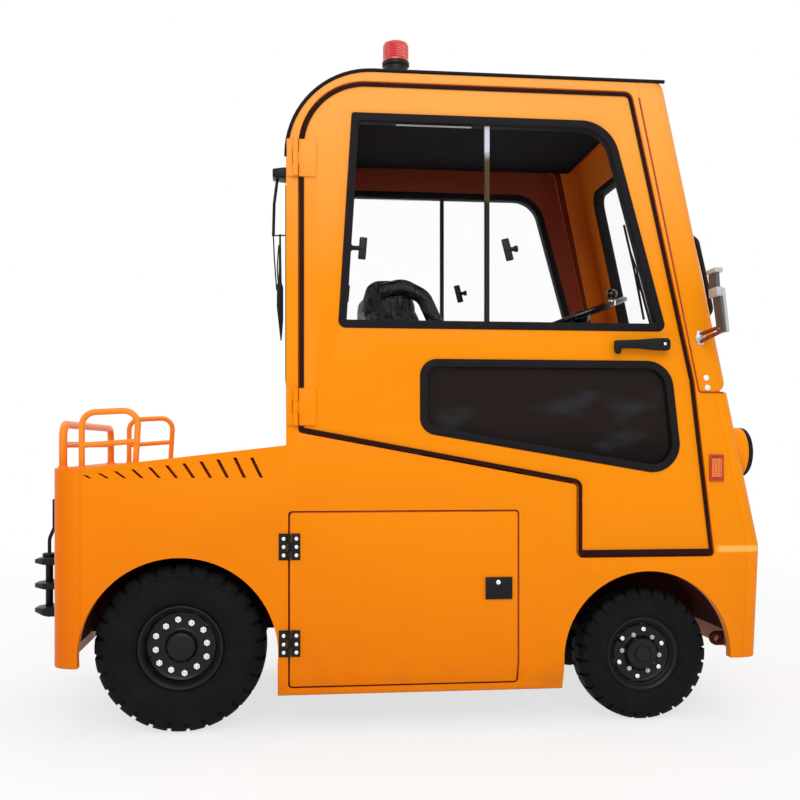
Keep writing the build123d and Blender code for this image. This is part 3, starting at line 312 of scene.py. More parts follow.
def makeStage():
    floorLook = {"size": 60.0, "tone": (0.9, 0.9, 0.9), "nearShare": 0.72, "far": (2.0, 6.0)}
    bpy.ops.object.select_all(action="DESELECT")
    bpy.ops.mesh.primitive_plane_add(size=floorLook["size"], location=(0, 0, 0))
    floor = bpy.context.object
    floor.name = "floor"
    p = Paint("paleFloor")
    far = p.add("ShaderNodeVectorMath", {"operation": "LENGTH"}, {0: p.spot()}, out="Value").ramp(*floorLook["far"])
    rays = [p.add("ShaderNodeLightPath", out=kind) for kind in ("Is Camera Ray", "Is Glossy Ray",
                                                                "Is Transmission Ray")]
    p.finish(base=floorLook["tone"], rough=0.9, spec=0.0)
    white = p.add("ShaderNodeEmission", {}, {"Color": (1, 1, 1), "Strength": 1.0})
    amount = (rays[0] + rays[1] + rays[2]).ramp(0, 1) * (far * (1 - floorLook["nearShare"]) + floorLook["nearShare"])
    blend = p.add("ShaderNodeMixShader", {}, {0: amount, 1: Val(p, p.shader.outputs[0]), 2: white})
    p.tree.links.new(blend.socket, p.tree.nodes["Material Output"].inputs["Surface"])
    floor.data.materials.append(p.material)


def makeWorld():
    worldLook = {"onObject": 0.62, "seen": 1.0}
    world = bpy.data.worlds.new("paleStudio")
    bpy.context.scene.world = world
    world.use_nodes = True
    p = Paint.__new__(Paint)
    p.tree = world.node_tree
    rays = [p.add("ShaderNodeLightPath", out=kind) for kind in ("Is Camera Ray", "Is Glossy Ray",
                                                                "Is Transmission Ray")]
    power = (rays[0] + rays[1] + rays[2]).ramp(0, 1, worldLook["onObject"], worldLook["seen"])
    sky = p.tree.nodes["Background"]
    p.tree.links.new(power.socket, sky.inputs["Strength"])
    sky.inputs["Color"].default_value = (1, 1, 1, 1)


def makeLight(name, place, aim, size, watts):
    data = bpy.data.lights.new(name, "AREA")
    data.shape = "RECTANGLE"
    data.size, data.size_y = size
    data.energy = watts
    lamp = bpy.data.objects.new(name, data)
    bpy.context.collection.objects.link(lamp)
    lamp.location = place
    lamp.rotation_euler = (Vector(aim) - Vector(place)).to_track_quat("-Z", "Y").to_euler()


def makeCamera():
    cameraLook = {"lens": 45, "sensor": 36, "shift": 0.05625, "place": at(-348, -4000, 995), "turn": -6.2}
    data = bpy.data.cameras.new("viewer")
    data.lens = cameraLook["lens"]
    data.sensor_width = cameraLook["sensor"]
    data.shift_y = cameraLook["shift"]
    camera = bpy.data.objects.new("viewer", data)
    bpy.context.collection.objects.link(camera)
    camera.location = cameraLook["place"]
    camera.rotation_euler = (math.radians(90), 0, math.radians(cameraLook["turn"]))
    bpy.context.scene.camera = camera


bpy.context.scene.view_settings.view_transform = "Standard"
makeStage()
makeWorld()
makeLight("sideSoft", (-0.5, -5.5, 4.2), (0, 0, 1.0), (5.0, 3.0), 150)
makeLight("topSoft", (0.3, 0.5, 6.0), (0, 0, 0.8), (5.0, 4.0), 110)
makeLight("rearSoft", (-5.5, 2.5, 3.0), (0, 0, 1.0), (3.0, 3.0), 25)
makeCamera()
print("stage ready")


def clear():
    active = bpy.context.view_layer.objects.active
    if active and active.mode != "OBJECT":
        bpy.ops.object.mode_set(mode="OBJECT")
    bpy.ops.object.select_all(action="DESELECT")


def focus(piece):
    clear()
    piece.select_set(True)
    bpy.context.view_layer.objects.active = piece


def pick(piece, kind="FACE", test=None):  # edit mode, with the faces, edges or points that pass the test
    focus(piece)
    bpy.ops.object.mode_set(mode="EDIT")
    bpy.ops.mesh.select_mode(type=kind)
    bpy.ops.mesh.select_all(action="DESELECT" if test else "SELECT")
    if not test:
        return
    bpy.ops.object.mode_set(mode="OBJECT")
    mesh = piece.data
    if kind == "FACE":
        for face in mesh.polygons:
            face.select = bool(test(face.center, face.normal))
    elif kind == "EDGE":
        for edge in mesh.edges:
            a, b = (mesh.vertices[i].co for i in edge.vertices)
            edge.select = bool(test((a + b) / 2, (b - a).normalized()))
    else:
        for point in mesh.vertices:
            point.select = bool(test(point.co))
    bpy.ops.object.mode_set(mode="EDIT")


def settle(piece, name=None):
    focus(piece)
    if name:
        piece.name = name
        piece.data.name = name
    bpy.ops.object.transform_apply(location=True, rotation=True, scale=True)
    return piece


def weld(piece, distance=weldGap):
    pick(piece)
    bpy.ops.mesh.remove_doubles(threshold=distance)
    bpy.ops.mesh.normals_make_consistent(inside=False)
    clear()
    return piece


def rounded(piece, width, segments=2, angle=35):
    focus(piece)
    edge = piece.modifiers.new("edge", "BEVEL")
    edge.width = width / 1000
    edge.segments = segments
    edge.limit_method = "ANGLE"
    edge.angle_limit = math.radians(angle)
    bpy.ops.object.modifier_apply(modifier="edge")
    return piece


def block(name, low, high, bevel=0.0, segments=2):
    clear()
    low, high = Vector(low), Vector(high)
    bpy.ops.mesh.primitive_cube_add(size=1, location=(low + high) / 2, scale=high - low)
    piece = settle(bpy.context.object, name)
    return rounded(piece, bevel, segments) if bevel else piece


def drawn(name, points, closed=False):  # a line of edges, one point pulled from the last
    clear()
    bpy.ops.mesh.primitive_plane_add(size=0.01, location=points[0])
    piece = settle(bpy.context.object, name)
    bpy.ops.object.mode_set(mode="EDIT")
    bpy.ops.mesh.select_mode(type="VERT")
    bpy.ops.mesh.select_all(action="SELECT")
    bpy.ops.mesh.merge(type="CENTER")
    for a, b in zip(points, points[1:]):
        bpy.ops.mesh.extrude_region_move(TRANSFORM_OT_translate={"value": b - a})
    if closed:
        pick(piece, "VERT", lambda p: (p - points[0]).length < 1e-6 or (p - points[-1]).length < 1e-6)
        bpy.ops.mesh.edge_face_add()
    clear()
    return piece


def slab(name, corners, y0, y1, bevel=0.0, segments=2):  # a flat outline in x and z, drawn out along y
    outline = drawn(name, [at(x, y0, z) for x, z in corners], True)
    pick(outline)
    bpy.ops.mesh.edge_face_add()
    bpy.ops.mesh.extrude_region_move(TRANSFORM_OT_translate={"value": (0, (y1 - y0) / 1000, 0)})
    bpy.ops.mesh.select_all(action="SELECT")
    bpy.ops.mesh.normals_make_consistent(inside=False)
    clear()
    return rounded(outline, bevel, segments) if bevel else outline


def lathe(name, profile, centre, axis="Y", steps=48, angle=math.tau, closed=False):
    centre = Vector(centre)  # profile is (radius, distance along the axis)
    along = {"X": Vector((1, 0, 0)), "Y": Vector((0, 1, 0)), "Z": Vector((0, 0, 1))}[axis]
    out = Vector((1, 0, 0)) if axis == "Z" else Vector((0, 0, 1))
    piece = drawn(name, [centre + (out * r + along * d) / 1000 for r, d in profile], closed)
    pick(piece)
    bpy.ops.mesh.spin(steps=steps, angle=angle, center=centre, axis=along)
    if angle < math.tau:
        clear()
        return piece
    return weld(piece)


def bent(points, bend, steps=6):  # the same run of points with its corners rounded
    points = [Vector(p) for p in points]
    if not bend:
        return points
    line = [points[0]]
    for a, b, c in zip(points, points[1:], points[2:]):
        u, v = (a - b).normalized(), (c - b).normalized()
        half = u.angle(v) / 2
        before = (a - b).length * (0.98 if a is points[0] else 0.49)
        after = (c - b).length * (0.98 if c is points[-1] else 0.49)
        reach = min(bend / math.tan(half), before, after)
        start, end = b + u * reach, b + v * reach
        centre = b + (u + v).normalized() * (reach / math.cos(half))
        radius = (start - centre).length
        count = steps + int(radius * 40)
        for k in range(count + 1):
            line.append(centre + (start - centre).slerp(end - centre, k / count).normalized() * radius)
    line.append(points[-1])
    return line


def pipe(name, points, radius, bend=0.0, fine=5, closed=False):
    piece = drawn(name, bent(points, bend / 1000), closed)
    focus(piece)
    bpy.ops.object.convert(target="CURVE")
    tube = bpy.context.object
    tube.data.bevel_depth = radius / 1000
    tube.data.bevel_resolution = fine
    tube.data.use_fill_caps = True
    bpy.ops.object.convert(target="MESH")
    return weld(settle(bpy.context.object, name))


def copied(piece, name, matrix=Matrix.Identity(4)):
    mesh = piece.data.copy()
    mesh.transform(matrix)
    if matrix.determinant() < 0:
        mesh.flip_normals()
    twin = bpy.data.objects.new(name, mesh)
    mesh.name = name
    bpy.context.collection.objects.link(twin)
    return twin


def joined(pieces, name):
    clear()
    for piece in pieces:
        piece.select_set(True)
    bpy.context.view_layer.objects.active = pieces[0]
    if len(pieces) > 1:
        bpy.ops.object.join()
    pieces[0].name = name
    pieces[0].data.name = name
    return pieces[0]


def done(piece, finish, standsFor=(), body="chassis", angle=40, slot=None):
    focus(piece)
    bpy.ops.object.shade_smooth_by_angle(angle=math.radians(angle))
    piece.data.materials.clear()
    piece.data.materials.append(finishes[finish])
    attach(piece, body)
    if standsFor:
        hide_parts(*standsFor)
    return piece


# body and nodes hold {} where the side's name goes
def bothSides(piece, finish, standsFor=(), body="chassis", **more):
    twin = copied(piece, piece.name + "Left", mirrorY)
    piece.name += "Right"
    for side, each in (("right", piece), ("left", twin)):
        done(each, finish, [n.format(side) for n in standsFor], body.format(side), **more)
    return piece, twin


def flattened(piece):  # faces that lie in one plane become one
    pick(piece)
    bpy.ops.mesh.dissolve_limited(angle_limit=math.radians(1.0))
    clear()
    return piece


def skinOf(nodeName, name, width):  # a welded copy of a node's shape, its edges rounded
    piece = copied(nodes[nodeName], name)
    pick(piece)
    bpy.ops.mesh.remove_doubles(threshold=weldGap)
    bpy.ops.mesh.dissolve_limited(angle_limit=math.radians(1.0))
    clear()
    return rounded(piece, width)


def dressed(nodeName, width, finish=None):
    piece = skinOf(nodeName, nodeName + "Skin", width)
    slot = slotOf[nodeName]
    return done(piece, finish or slotFinish[slot], [nodeName], bodyOf[nodeName], 32, slot)


def about(centre, angle):  # a turn round the line through the centre along y
    return Matrix.Translation(centre) @ Matrix.Rotation(angle, 4, "Y") @ Matrix.Translation(-centre)


def facing(piece, way, margin=0, move=None, deep=False, shrink=None):  # works on the faces that look one way
    pick(piece, "FACE", lambda p, n: n.dot(Vector(way)) > 0.9)
    if margin:
        bpy.ops.mesh.inset(thickness=margin / 1000)
    if deep:
        bpy.ops.mesh.extrude_region_move(TRANSFORM_OT_translate={"value": Vector(move) / 1000})
    elif move:
        bpy.ops.transform.translate(value=Vector(move) / 1000)
    if shrink:
        bpy.ops.transform.resize(value=shrink)
    clear()
    return piece


wheels = {
    "rear": {"x": -728, "z": 295, "y": 422, "r": 295, "w": 175, "flange": 145, "bead": 127, "beadHalf": 63,
             "groove": 11},
    "front": {"x": 918, "z": 238, "y": 440, "r": 238, "w": 135, "flange": 131, "bead": 111, "beadHalf": 42,
              "groove": 9},
}
# half of the tyre's section: share of the height from rim to tread, share of half the width
wallLine = [(.01, .715), (.047, .80), (.113, .891), (.22, .96), (.367, .998), (.513, 1.0), (.62, .985), (.63, 1.0),
            (.675, 1.0), (.69, .974), (.753, .949), (.82, .909), (.9, .846), (.953, .754), (.98, .629), (.995, .4),
            (1, .171), (1, .057), (.95, .04), (.95, 0)]


def makeTyre(axle, w, lugs=28, steps=4):
    centre = at(w["x"], -w["y"], w["z"])
    half = [(w["bead"] + 1, 0.8 * w["beadHalf"]), (w["bead"] + 1, w["beadHalf"] - 1)]
    half += [(w["flange"] + t * (w["r"] - w["flange"]), k * w["w"] / 2) for t, k in wallLine]
    section = half + [(r, -y) for r, y in reversed(half[:-1])]
    pitch = math.tau / lugs
    lug = lathe("tyreLug", section, centre, "Y", steps, pitch, True)
    weld(lug)
    inner = w["r"] / 1000 - 0.034 if axle == "rear" else w["r"] / 1000 - 0.028

    def groove(point, normal):
        off = point - centre
        if math.hypot(off.x, off.z) < inner or abs(off.y) < 0.01:
            return False
        step = (math.atan2(off.x, off.z) % math.tau) / (pitch / steps)
        step = min(step, math.tau / (pitch / steps) - step)
        return int(step) == (1 if off.y < 0 else 3)

    pick(lug, "FACE", groove)
    bpy.ops.mesh.extrude_region_shrink_fatten(TRANSFORM_OT_shrink_fatten={"value": -w["groove"] / 1000})
    clear()
    ring = [lug]
    for k in range(1, lugs):
        ring.append(copied(lug, "tyreLug", about(centre, pitch * k)))
    tyre = weld(joined(ring, axle + "Tyre"), 0.00005)
    bothSides(tyre, "tyre", ["tyre_" + axle + "_{}"], body=axle + "_wheel_{}", angle=28)


rims = {
    "rear": [(145, 63), (147, 66.5), (145.5, 70), (141, 71), (137, 68.5), (133, 63), (127, 58), (124, 50), (121, 40),
             (117, 33), (110, 29.5), (100, 28), (64, 28), (58, 30), (52, 36), (47.5, 44), (47.5, 52), (42, 54),
             (30, 56), (14, 57.5), (0, 58), (0, 52), (40, 50), (42, 20), (64, 20), (100, 20), (113, 24), (118, -10),
             (121, -40), (127, -58), (133, -63), (141, -71), (147, -66.5), (145, -63), (127, -55), (124, -40),
             (124, 40), (127, 55)],
    "front": [(131, 42), (133, 45.5), (131.5, 49), (127, 50), (122, 47.5), (118, 42), (111, 38), (107, 34), (104, 29),
              (100, 26), (95, 24), (72, 23), (66, 25), (61, 30), (58, 38), (57, 47), (54, 51), (46, 53), (34, 53.5),
              (31, 54), (30, 60), (26, 64), (14, 66), (0, 66.5), (0, 40), (44, 38), (46, 14), (70, 14), (93, 15),
              (101, 18), (104, -8), (107, -26), (111, -38), (118, -42), (127, -50), (133, -45.5), (131, -42),
              (111, -36),
              (107, -26), (107, 26), (111, 36)],
}
nutRings = {  # angle of the first from the front, count, radius of the ring, size, height, where it stands, kind
    "rear": [(6.7, 6, 88, 12.1, 12, 28, "hex"), (36.7, 6, 94, 12.1, 12, 28, "hex")],
    "front": [(22.3, 6, 86, 9.8, 8, 24, "dome"), (-7.7, 6, 70.5, 9.4, 9, 23, "hex")],
}


def makeNut(kind, centre, size, height):
    r, tall = size / 1000, height / 1000
    clear()
    place = centre - Vector((0, tall / 2, 0))
    bpy.ops.mesh.primitive_cylinder_add(vertices=6 if kind == "hex" else 20, radius=r, depth=tall, location=place,
                                        rotation=(math.pi / 2, 0, 0))
    nut = settle(bpy.context.object, "nut")
    pick(nut, "FACE", lambda p, n: n.y < -0.9)
    if kind == "hex":
        bpy.ops.mesh.inset(thickness=r * 0.14)
        bpy.ops.mesh.inset(thickness=r * 0.34)
        bpy.ops.transform.translate(value=(0, tall * 0.08, 0))
        bpy.ops.mesh.extrude_region_move(TRANSFORM_OT_translate={"value": (0, -tall * 0.55, 0)})
    else:
        bpy.ops.mesh.bevel(offset=min(r, tall) * 0.6, segments=4)
    clear()
    return rounded(nut, size * 0.07, 1, 50)


def makeRim(axle, w):
    centre = at(w["x"], -w["y"], w["z"])
    rim = lathe(axle + "Rim", [(r, -y) for r, y in rims[axle]], centre, "Y", 72, math.tau, closed=True)
    bothSides(rim, "wheelBlack", ["rim_" + axle + "_{}"], body=axle + "_wheel_{}", angle=30)
    for ring, (first, count, reach, size, height, stand, kind) in enumerate(nutRings[axle]):
        stud = centre + Vector((reach / 1000 * math.cos(math.radians(first)), -stand / 1000,
                                reach / 1000 * math.sin(math.radians(first))))
        nut = makeNut(kind, stud, size, height)
        ringOf = [nut] + [copied(nut, "nut", about(centre, math.tau / count * k)) for k in range(1, count)]
        name = axle + "Nuts" + str(ring + 1)
        bright = not (axle == "front" and kind == "hex")
        bothSides(joined(ringOf, name), "bright" if bright else "steel", body=axle + "_wheel_{}")


def makeValve(axle, w, angle, reach, stand):
    centre = at(w["x"], -w["y"], w["z"])
    foot = centre + Vector((reach * math.cos(angle), -stand, reach * math.sin(angle)))
    tip = foot + Vector((-0.008 * math.cos(angle), -0.024, -0.008 * math.sin(angle)))
    stem = pipe(axle + "Valve", [foot, foot.lerp(tip, 0.5), tip], 3.6, 0, 2)
    bothSides(stem, "rubber", body=axle + "_wheel_{}")


for axle, w in wheels.items():
    makeTyre(axle, w)
    makeRim(axle, w)
makeValve("rear", wheels["rear"], math.radians(200), 0.112, 0.03)
makeValve("front", wheels["front"], math.radians(150), 0.09, 0.024)
print("wheels made")

doorLook = {
    "grip": [(782, 1360), (784, 1363), (873, 1367), (927, 1372), (975, 1373), (984, 1364), (984, 1336),
             (975, 1329), (927, 1330), (873, 1335), (806, 1336), (801, 1325), (794, 1318), (786, 1320), (782, 1330)],
    "gripY": (-594, -574), "hook": (785, 806, 1316, 1346), "button": (963.6, 1352),
    "stileX": (328, 345), "stileZ": (1401, 2143), "glassY": -530, "rail": (15, 281, 2110.5, 2113),
    "catches": [((-97.7, 1719), (-104.3, 1642), (-152, 1682)), ((402.7, 1725), (422.5, 1648), (448, 1691))],
}


def keepPart(piece, test):  # throws away the faces that fail the test
    pick(piece, "FACE", lambda p, n: not test(p))
    bpy.ops.mesh.delete(type="FACE")
    clear()
    return piece


def makeDoorFittings():
    look = doorLook
    frames = weld(copied(nodes["door_trim_right"], "windowFrames"))
    keepPart(frames, lambda p: not (0.78 < p.x - shiftX < 1.0 and (1.3255 < p.z < 1.3695 or (1.31 < p.z < 1.385
                                                                                             and p.y < -0.5595))))
    keepPart(frames, lambda p: not (0.94 < p.x - shiftX < 0.99 and 1.3215 < p.z < 1.3725 and abs(p.y + 0.572) < 0.02))
    bothSides(rounded(flattened(frames), 2.5, 3), "rubber", ["door_trim_{}"], body="door_{}", angle=32)

    y0, y1 = look["gripY"]
    grip = slab("gripBar", look["grip"], y0, y1, 5, 3)
    x0, x1, z0, z1 = look["hook"]
    hook = block("hook", at(x0, y0 + 2, z0), at(x1, y1, z1), 6, 3)
    feet = [block("foot", at(x, y1 - 3, 1336), at(x + 30, -553, 1362), 3) for x in (792, 948)]
    bothSides(joined([grip, hook] + feet, "doorHandle"), "black", body="door_{}")
    x, z = look["button"]
    button = lathe("handleButton", [(6.2, 4), (6.2, 0), (4.5, -2.2), (0, -3)], at(x, y0, z), "Y", 20)
    bothSides(button, "bright", body="door_{}", angle=60)

    for name, finish, low, high in (("doorPaneUpper", "glass", 1.36, 3.0), ("doorPaneLower", "darkGlass", 0.0, 1.36)):
        sheet = keepPart(weld(copied(nodes["door_glass_right"], name)), lambda p: low < p.z < high)
        standsFor = ["door_glass_{}"] if finish == "glass" else ()
        bothSides(rounded(flattened(sheet), 0.6, 1), finish, standsFor, body="door_{}", angle=32)

    x0, x1 = look["stileX"]
    z0, z1 = look["stileZ"]
    y = look["glassY"]
    stile = block("windowStile", at(x0, y - 8, z0), at(x1, y + 8, z1))
    pick(stile, "FACE", lambda p, n: abs(n.y) > 0.9)
    bpy.ops.mesh.inset(thickness=0.004)
    bpy.ops.transform.resize(value=(1, 0.8, 1), center_override=at(0, y, 1700))
    clear()
    for each, finish in zip(bothSides(rounded(stile, 1, 1), "stile", body="door_{}"), ("stile", "black")):
        each.data.materials[0] = finishes[finish]
    x0, x1, z0, z1 = look["rail"]
    rail = block("windowRail", at(x0, y - 7, z0), at(x1, y + 7, z1), 1.5)
    bothSides(rail, "steel", body="door_{}")

    catches = []
    for top, foot, stub in look["catches"]:
        top, foot, stub = (at(x, y + 9, z) for x, z in (top, foot, stub))
        mid = top.lerp(foot, 0.5)
        length = (top - foot).length
        half = Vector((0.0135, 0.006, length / 2))
        bar = block("catch", mid - half, mid + half, 4, 3)
        pick(bar)
        lean = math.atan2(foot.x - top.x, top.z - foot.z)
        bpy.ops.transform.rotate(value=lean, orient_axis="Y", center_override=mid)
        clear()
        end = stub + (stub - mid) * 0.02
        catches += [bar, pipe("stub", [mid, stub], 8, 0, 3), pipe("knob", [mid.lerp(stub, 0.72), end], 11.5, 0, 3)]
    bothSides(joined(catches, "windowCatches"), "plastic", body="door_{}")


p = Paint("windowStile")  # dark anodised channel, brownish above 1.85 m and bright blue-white near its top
tone = p.mix(p.axis("Z").ramp(1.84, 1.86), (0.008, 0.01, 0.009), (0.075, 0.045, 0.02))
tone = p.mix((p.axis("Z") + p.noise(26.0) * 0.05).ramp(2.02, 2.06), tone, (0.62, 0.66, 0.74))
finishes["stile"] = p.finish(base=tone, rough=0.4, spec=0.12, normal=p.bump(p.noise(300.0, 2.0), 0.1, 0.0004))
# painted shade: the red lines at the seams, and the seal behind the service door's gap, stand for the shade in the
# joints
p = Paint("seamRed")
finishes["seam"] = p.finish(base=p.mix(p.noise(30.0).ramp(0.4, 0.7), (0.42, 0.03, 0.004), (0.2, 0.012, 0.004)),
                            rough=0.5 + p.noise(90.0) * 0.1)
makeDoorFittings()

seamLook = {
    "roof": [(-366, 1985), (-366, 2292), (976, 2292)], "roofBend": 300, "roofR": 6.5,
    "pillar": [(883, 2232), (1106.5, 1184), (1196, 1184)], "pillarR": 2.8,
    "service": [(-353, 690), (-353, 763.5), (444.5, 763.5), (444.5, 170)],
    "bolts": [(1131.7, 1235.5), (1136.5, 1200.4)], "boltR": 12,
}


def makeSeams():
    look = seamLook
    skin = -550
    strip = pipe("roofEdgeStrip", [at(x, skin, z) for x, z in look["roof"]], look["roofR"], look["roofBend"], 4)
    bothSides(strip, "rubber")
    # painted shade: red lines along the pillar seam and around the service door stand for the shade in the joint
    line = pipe("pillarSeam", [at(x, skin - 0.2, z) for x, z in look["pillar"]], look["pillarR"], 12, 2)
    bothSides(line, "seam")
    line = pipe("serviceDoorSeam", [at(x, skin + 1.0, z) for x, z in look["service"]], 1.7, 12, 2)
    bothSides(line, "seam")
    filler = block("pillarFiller", at(1120, -546, 1165), at(1186, -530, 1205), 2)
    bothSides(filler, "orange")
    r = look["boltR"]
    domes = []
    for x, z in look["bolts"]:
        profile = [(r, 1), (r, -2.5), (r * 0.86, -5), (r * 0.6, -7), (0, -8)]
        domes.append(lathe("dome", profile, at(x, skin, z), "Y", 24))
    bothSides(joined(domes, "pillarBolts"), "bright", angle=60)


makeSeams()

backingLook = {"door": (-364, 454, 150, 772), "lap": 22, "y": (-506, -500),
               "slots": [(-1045, 872), (-1045, 890), (-380, 966), (-380, 872)], "slotY": (-508, -504)}


def makeBacking():  # the seal behind the service door's gap, and the baffle behind the vent slots
    look = backingLook
    x0, x1, z0, z1 = look["door"]
    y0, y1 = look["y"]
    lap = look["lap"]
    sides = [(x0, x0 + lap, z0, z1), (x1 - lap, x1, z0, z1), (x0, x1, z1 - lap, z1), (x0, x1, z0, z0 + lap)]
    strips = [block("strip", at(a, y0, c), at(b, y1, d), 1) for a, b, c, d in sides]
    # painted shade: the seal takes the seams' red, standing for the shade in the gap
    bothSides(joined(strips, "serviceDoorSeal"), "seam", slot="black_rubber")
    backing = block("doorPostBacking", at(-346, y0, 900), at(-300, y1, 1985), 1)
    bothSides(backing, "orange")
    plate = slab("ventBaffle", look["slots"], *look["slotY"], 0.8, 1)
    bothSides(plate, "baffle")


p = Paint("baffle")
tone = p.mix(p.noise(14.0).ramp(0.4, 0.62), (0.42, 0.075, 0.008), (0.13, 0.07, 0.035))
finishes["baffle"] = p.finish(base=tone, rough=0.7 + p.noise(80.0) * 0.1, spec=0.05)
makeBacking()
print("door fittings and seams made")

hingeLook = {
    "rows": [(673.5, 645.5, 617.0), (341.5, 312.0, 284.0)], "columns": (-374, -331), "leafY": -554, "boltR": 7.5,
    "lock": (323, 423, 455, 532), "lockY": (-557, -549), "keyhole": (372.6, 514.5),
}


def makeHinges():
    look = hingeLook
    leaves = skinOf("service_hinges", "hingeLeaves", 1.5)
    done(leaves, "black", ["service_hinges"], angle=32)
    r = look["boltR"]
    for column, body in zip(look["columns"], ("chassis", "service_door_{}")):
        heads = []
        for row in look["rows"]:
            for z in row:
                profile = [(r, 3), (r, -2), (r * 0.8, -4.2), (r * 0.45, -5.2), (0, -5.5)]
                heads.append(lathe("head", profile, at(column, look["leafY"], z), "Y", 18))
        name = "fixedLeafBolts" if body == "chassis" else "doorLeafBolts"
        bothSides(joined(heads, name), "bright", body=body, angle=60)
    for side in ("right", "left"):
        dressed("service_hardware_" + side, 2)
    x, z = look["keyhole"]
    y = look["lockY"][0]
    profile = [(8.5, 3), (8.5, -1.5), (7, -3), (3, -3), (2.6, -1), (0, -1)]
    bothSides(lathe("lockBarrel", profile, at(x, y, z), "Y", 24), "bright", body="service_door_{}", angle=50)


makeHinges()

mirrorLook = {
    "head": (-700, -636), "upper": [(1105, 1540), (1102, 1590), (1116, 1590), (1119, 1540)],
    "flange": [(1098, 1590), (1097, 1606), (1126, 1606), (1127, 1590)],
    "bracket": [(1107, 1508), (1104, 1541), (1128, 1541), (1132, 1508)],
    "lower": [(1134, 1387), (1118, 1509), (1128, 1509), (1143, 1387)],
    "shell": [(1141, 1385), (1124, 1536), (1135, 1536), (1152, 1385)],
    "foot": (1110, 1379), "hub": (1146, -660, 1402),
}


def makeMirrors():
    look = mirrorLook
    y0, y1 = look["head"]
    dark = [slab("upperHead", look["upper"], y0, y1, 3, 3), slab("lowerHead", look["lower"], y0, y1, 3, 3)]
    bothSides(joined(dark, "mirrorHeads"), "grey", ["mirrors"])
    pale = [slab("flange", look["flange"], y0 - 5, y1 + 5, 3), slab("bracket", look["bracket"], y0 - 1, y1 + 6, 4),
            slab("shell", look["shell"], y0 - 4, y1 + 4, 4, 3)]
    bothSides(joined(pale, "mirrorShells"), "palePaint")
    faces = []
    for foot, head in (look["lower"][:2], look["upper"][:2]):
        (ax, az), (bx, bz) = foot, head
        corners = [(ax - 1.2, az + 5), (bx - 1.2, bz - 5), (bx + 2, bz - 5), (ax + 2, az + 5)]
        faces.append(slab("face", corners, y0 + 4, y1 - 4, 0.6, 1))
    bothSides(joined(faces, "mirrorFaces"), "darkMirror")
    x, z = look["foot"]
    hub = at(*look["hub"])
    arms = [pipe("arm", [at(x, -556, z + rise), hub + Vector((0, 0, rise * 0.0006))], 7.2, 0, 3)
            for rise in (13, -13)]
    bothSides(joined(arms, "mirrorArms"), "armRed")
    ball = lathe("ball", [(19, 0), (20, -4), (17, -8), (12, -10), (12, -14), (0, -16)], at(x, -550, z), "Y", 24)
    foot = block("footPlate", at(x - 14, -554.5, z - 26), at(x + 14, -548, z + 26), 3)
    knob = lathe("knob", [(13, 14), (15, 8), (15, -8), (11, -14), (0, -15)], hub, "Y", 20)
    bothSides(joined([ball, foot, knob], "mirrorFeet"), "steel", angle=50, slot="grey_plastic")


p = Paint("armRed")
finishes["armRed"] = p.finish(base=p.mix(p.noise(40.0).ramp(0.4, 0.7), (0.3, 0.05, 0.015), (0.13, 0.02, 0.01)),
                              rough=0.4)
makeMirrors()
print("hinges and mirrors made")

lampLook = {
    "y": -400, "z": 968, "back": 1236, "tip": 1340, "r": 92, "lensR": 74,
    "marker": (1143, 1195, 866, 961), "tail": (-430, 45, 700, 810), "rearX": -1152,
    "beacon": (22, -450, 2292), "baseR": 48.5, "base": 68, "lens": 70,
}


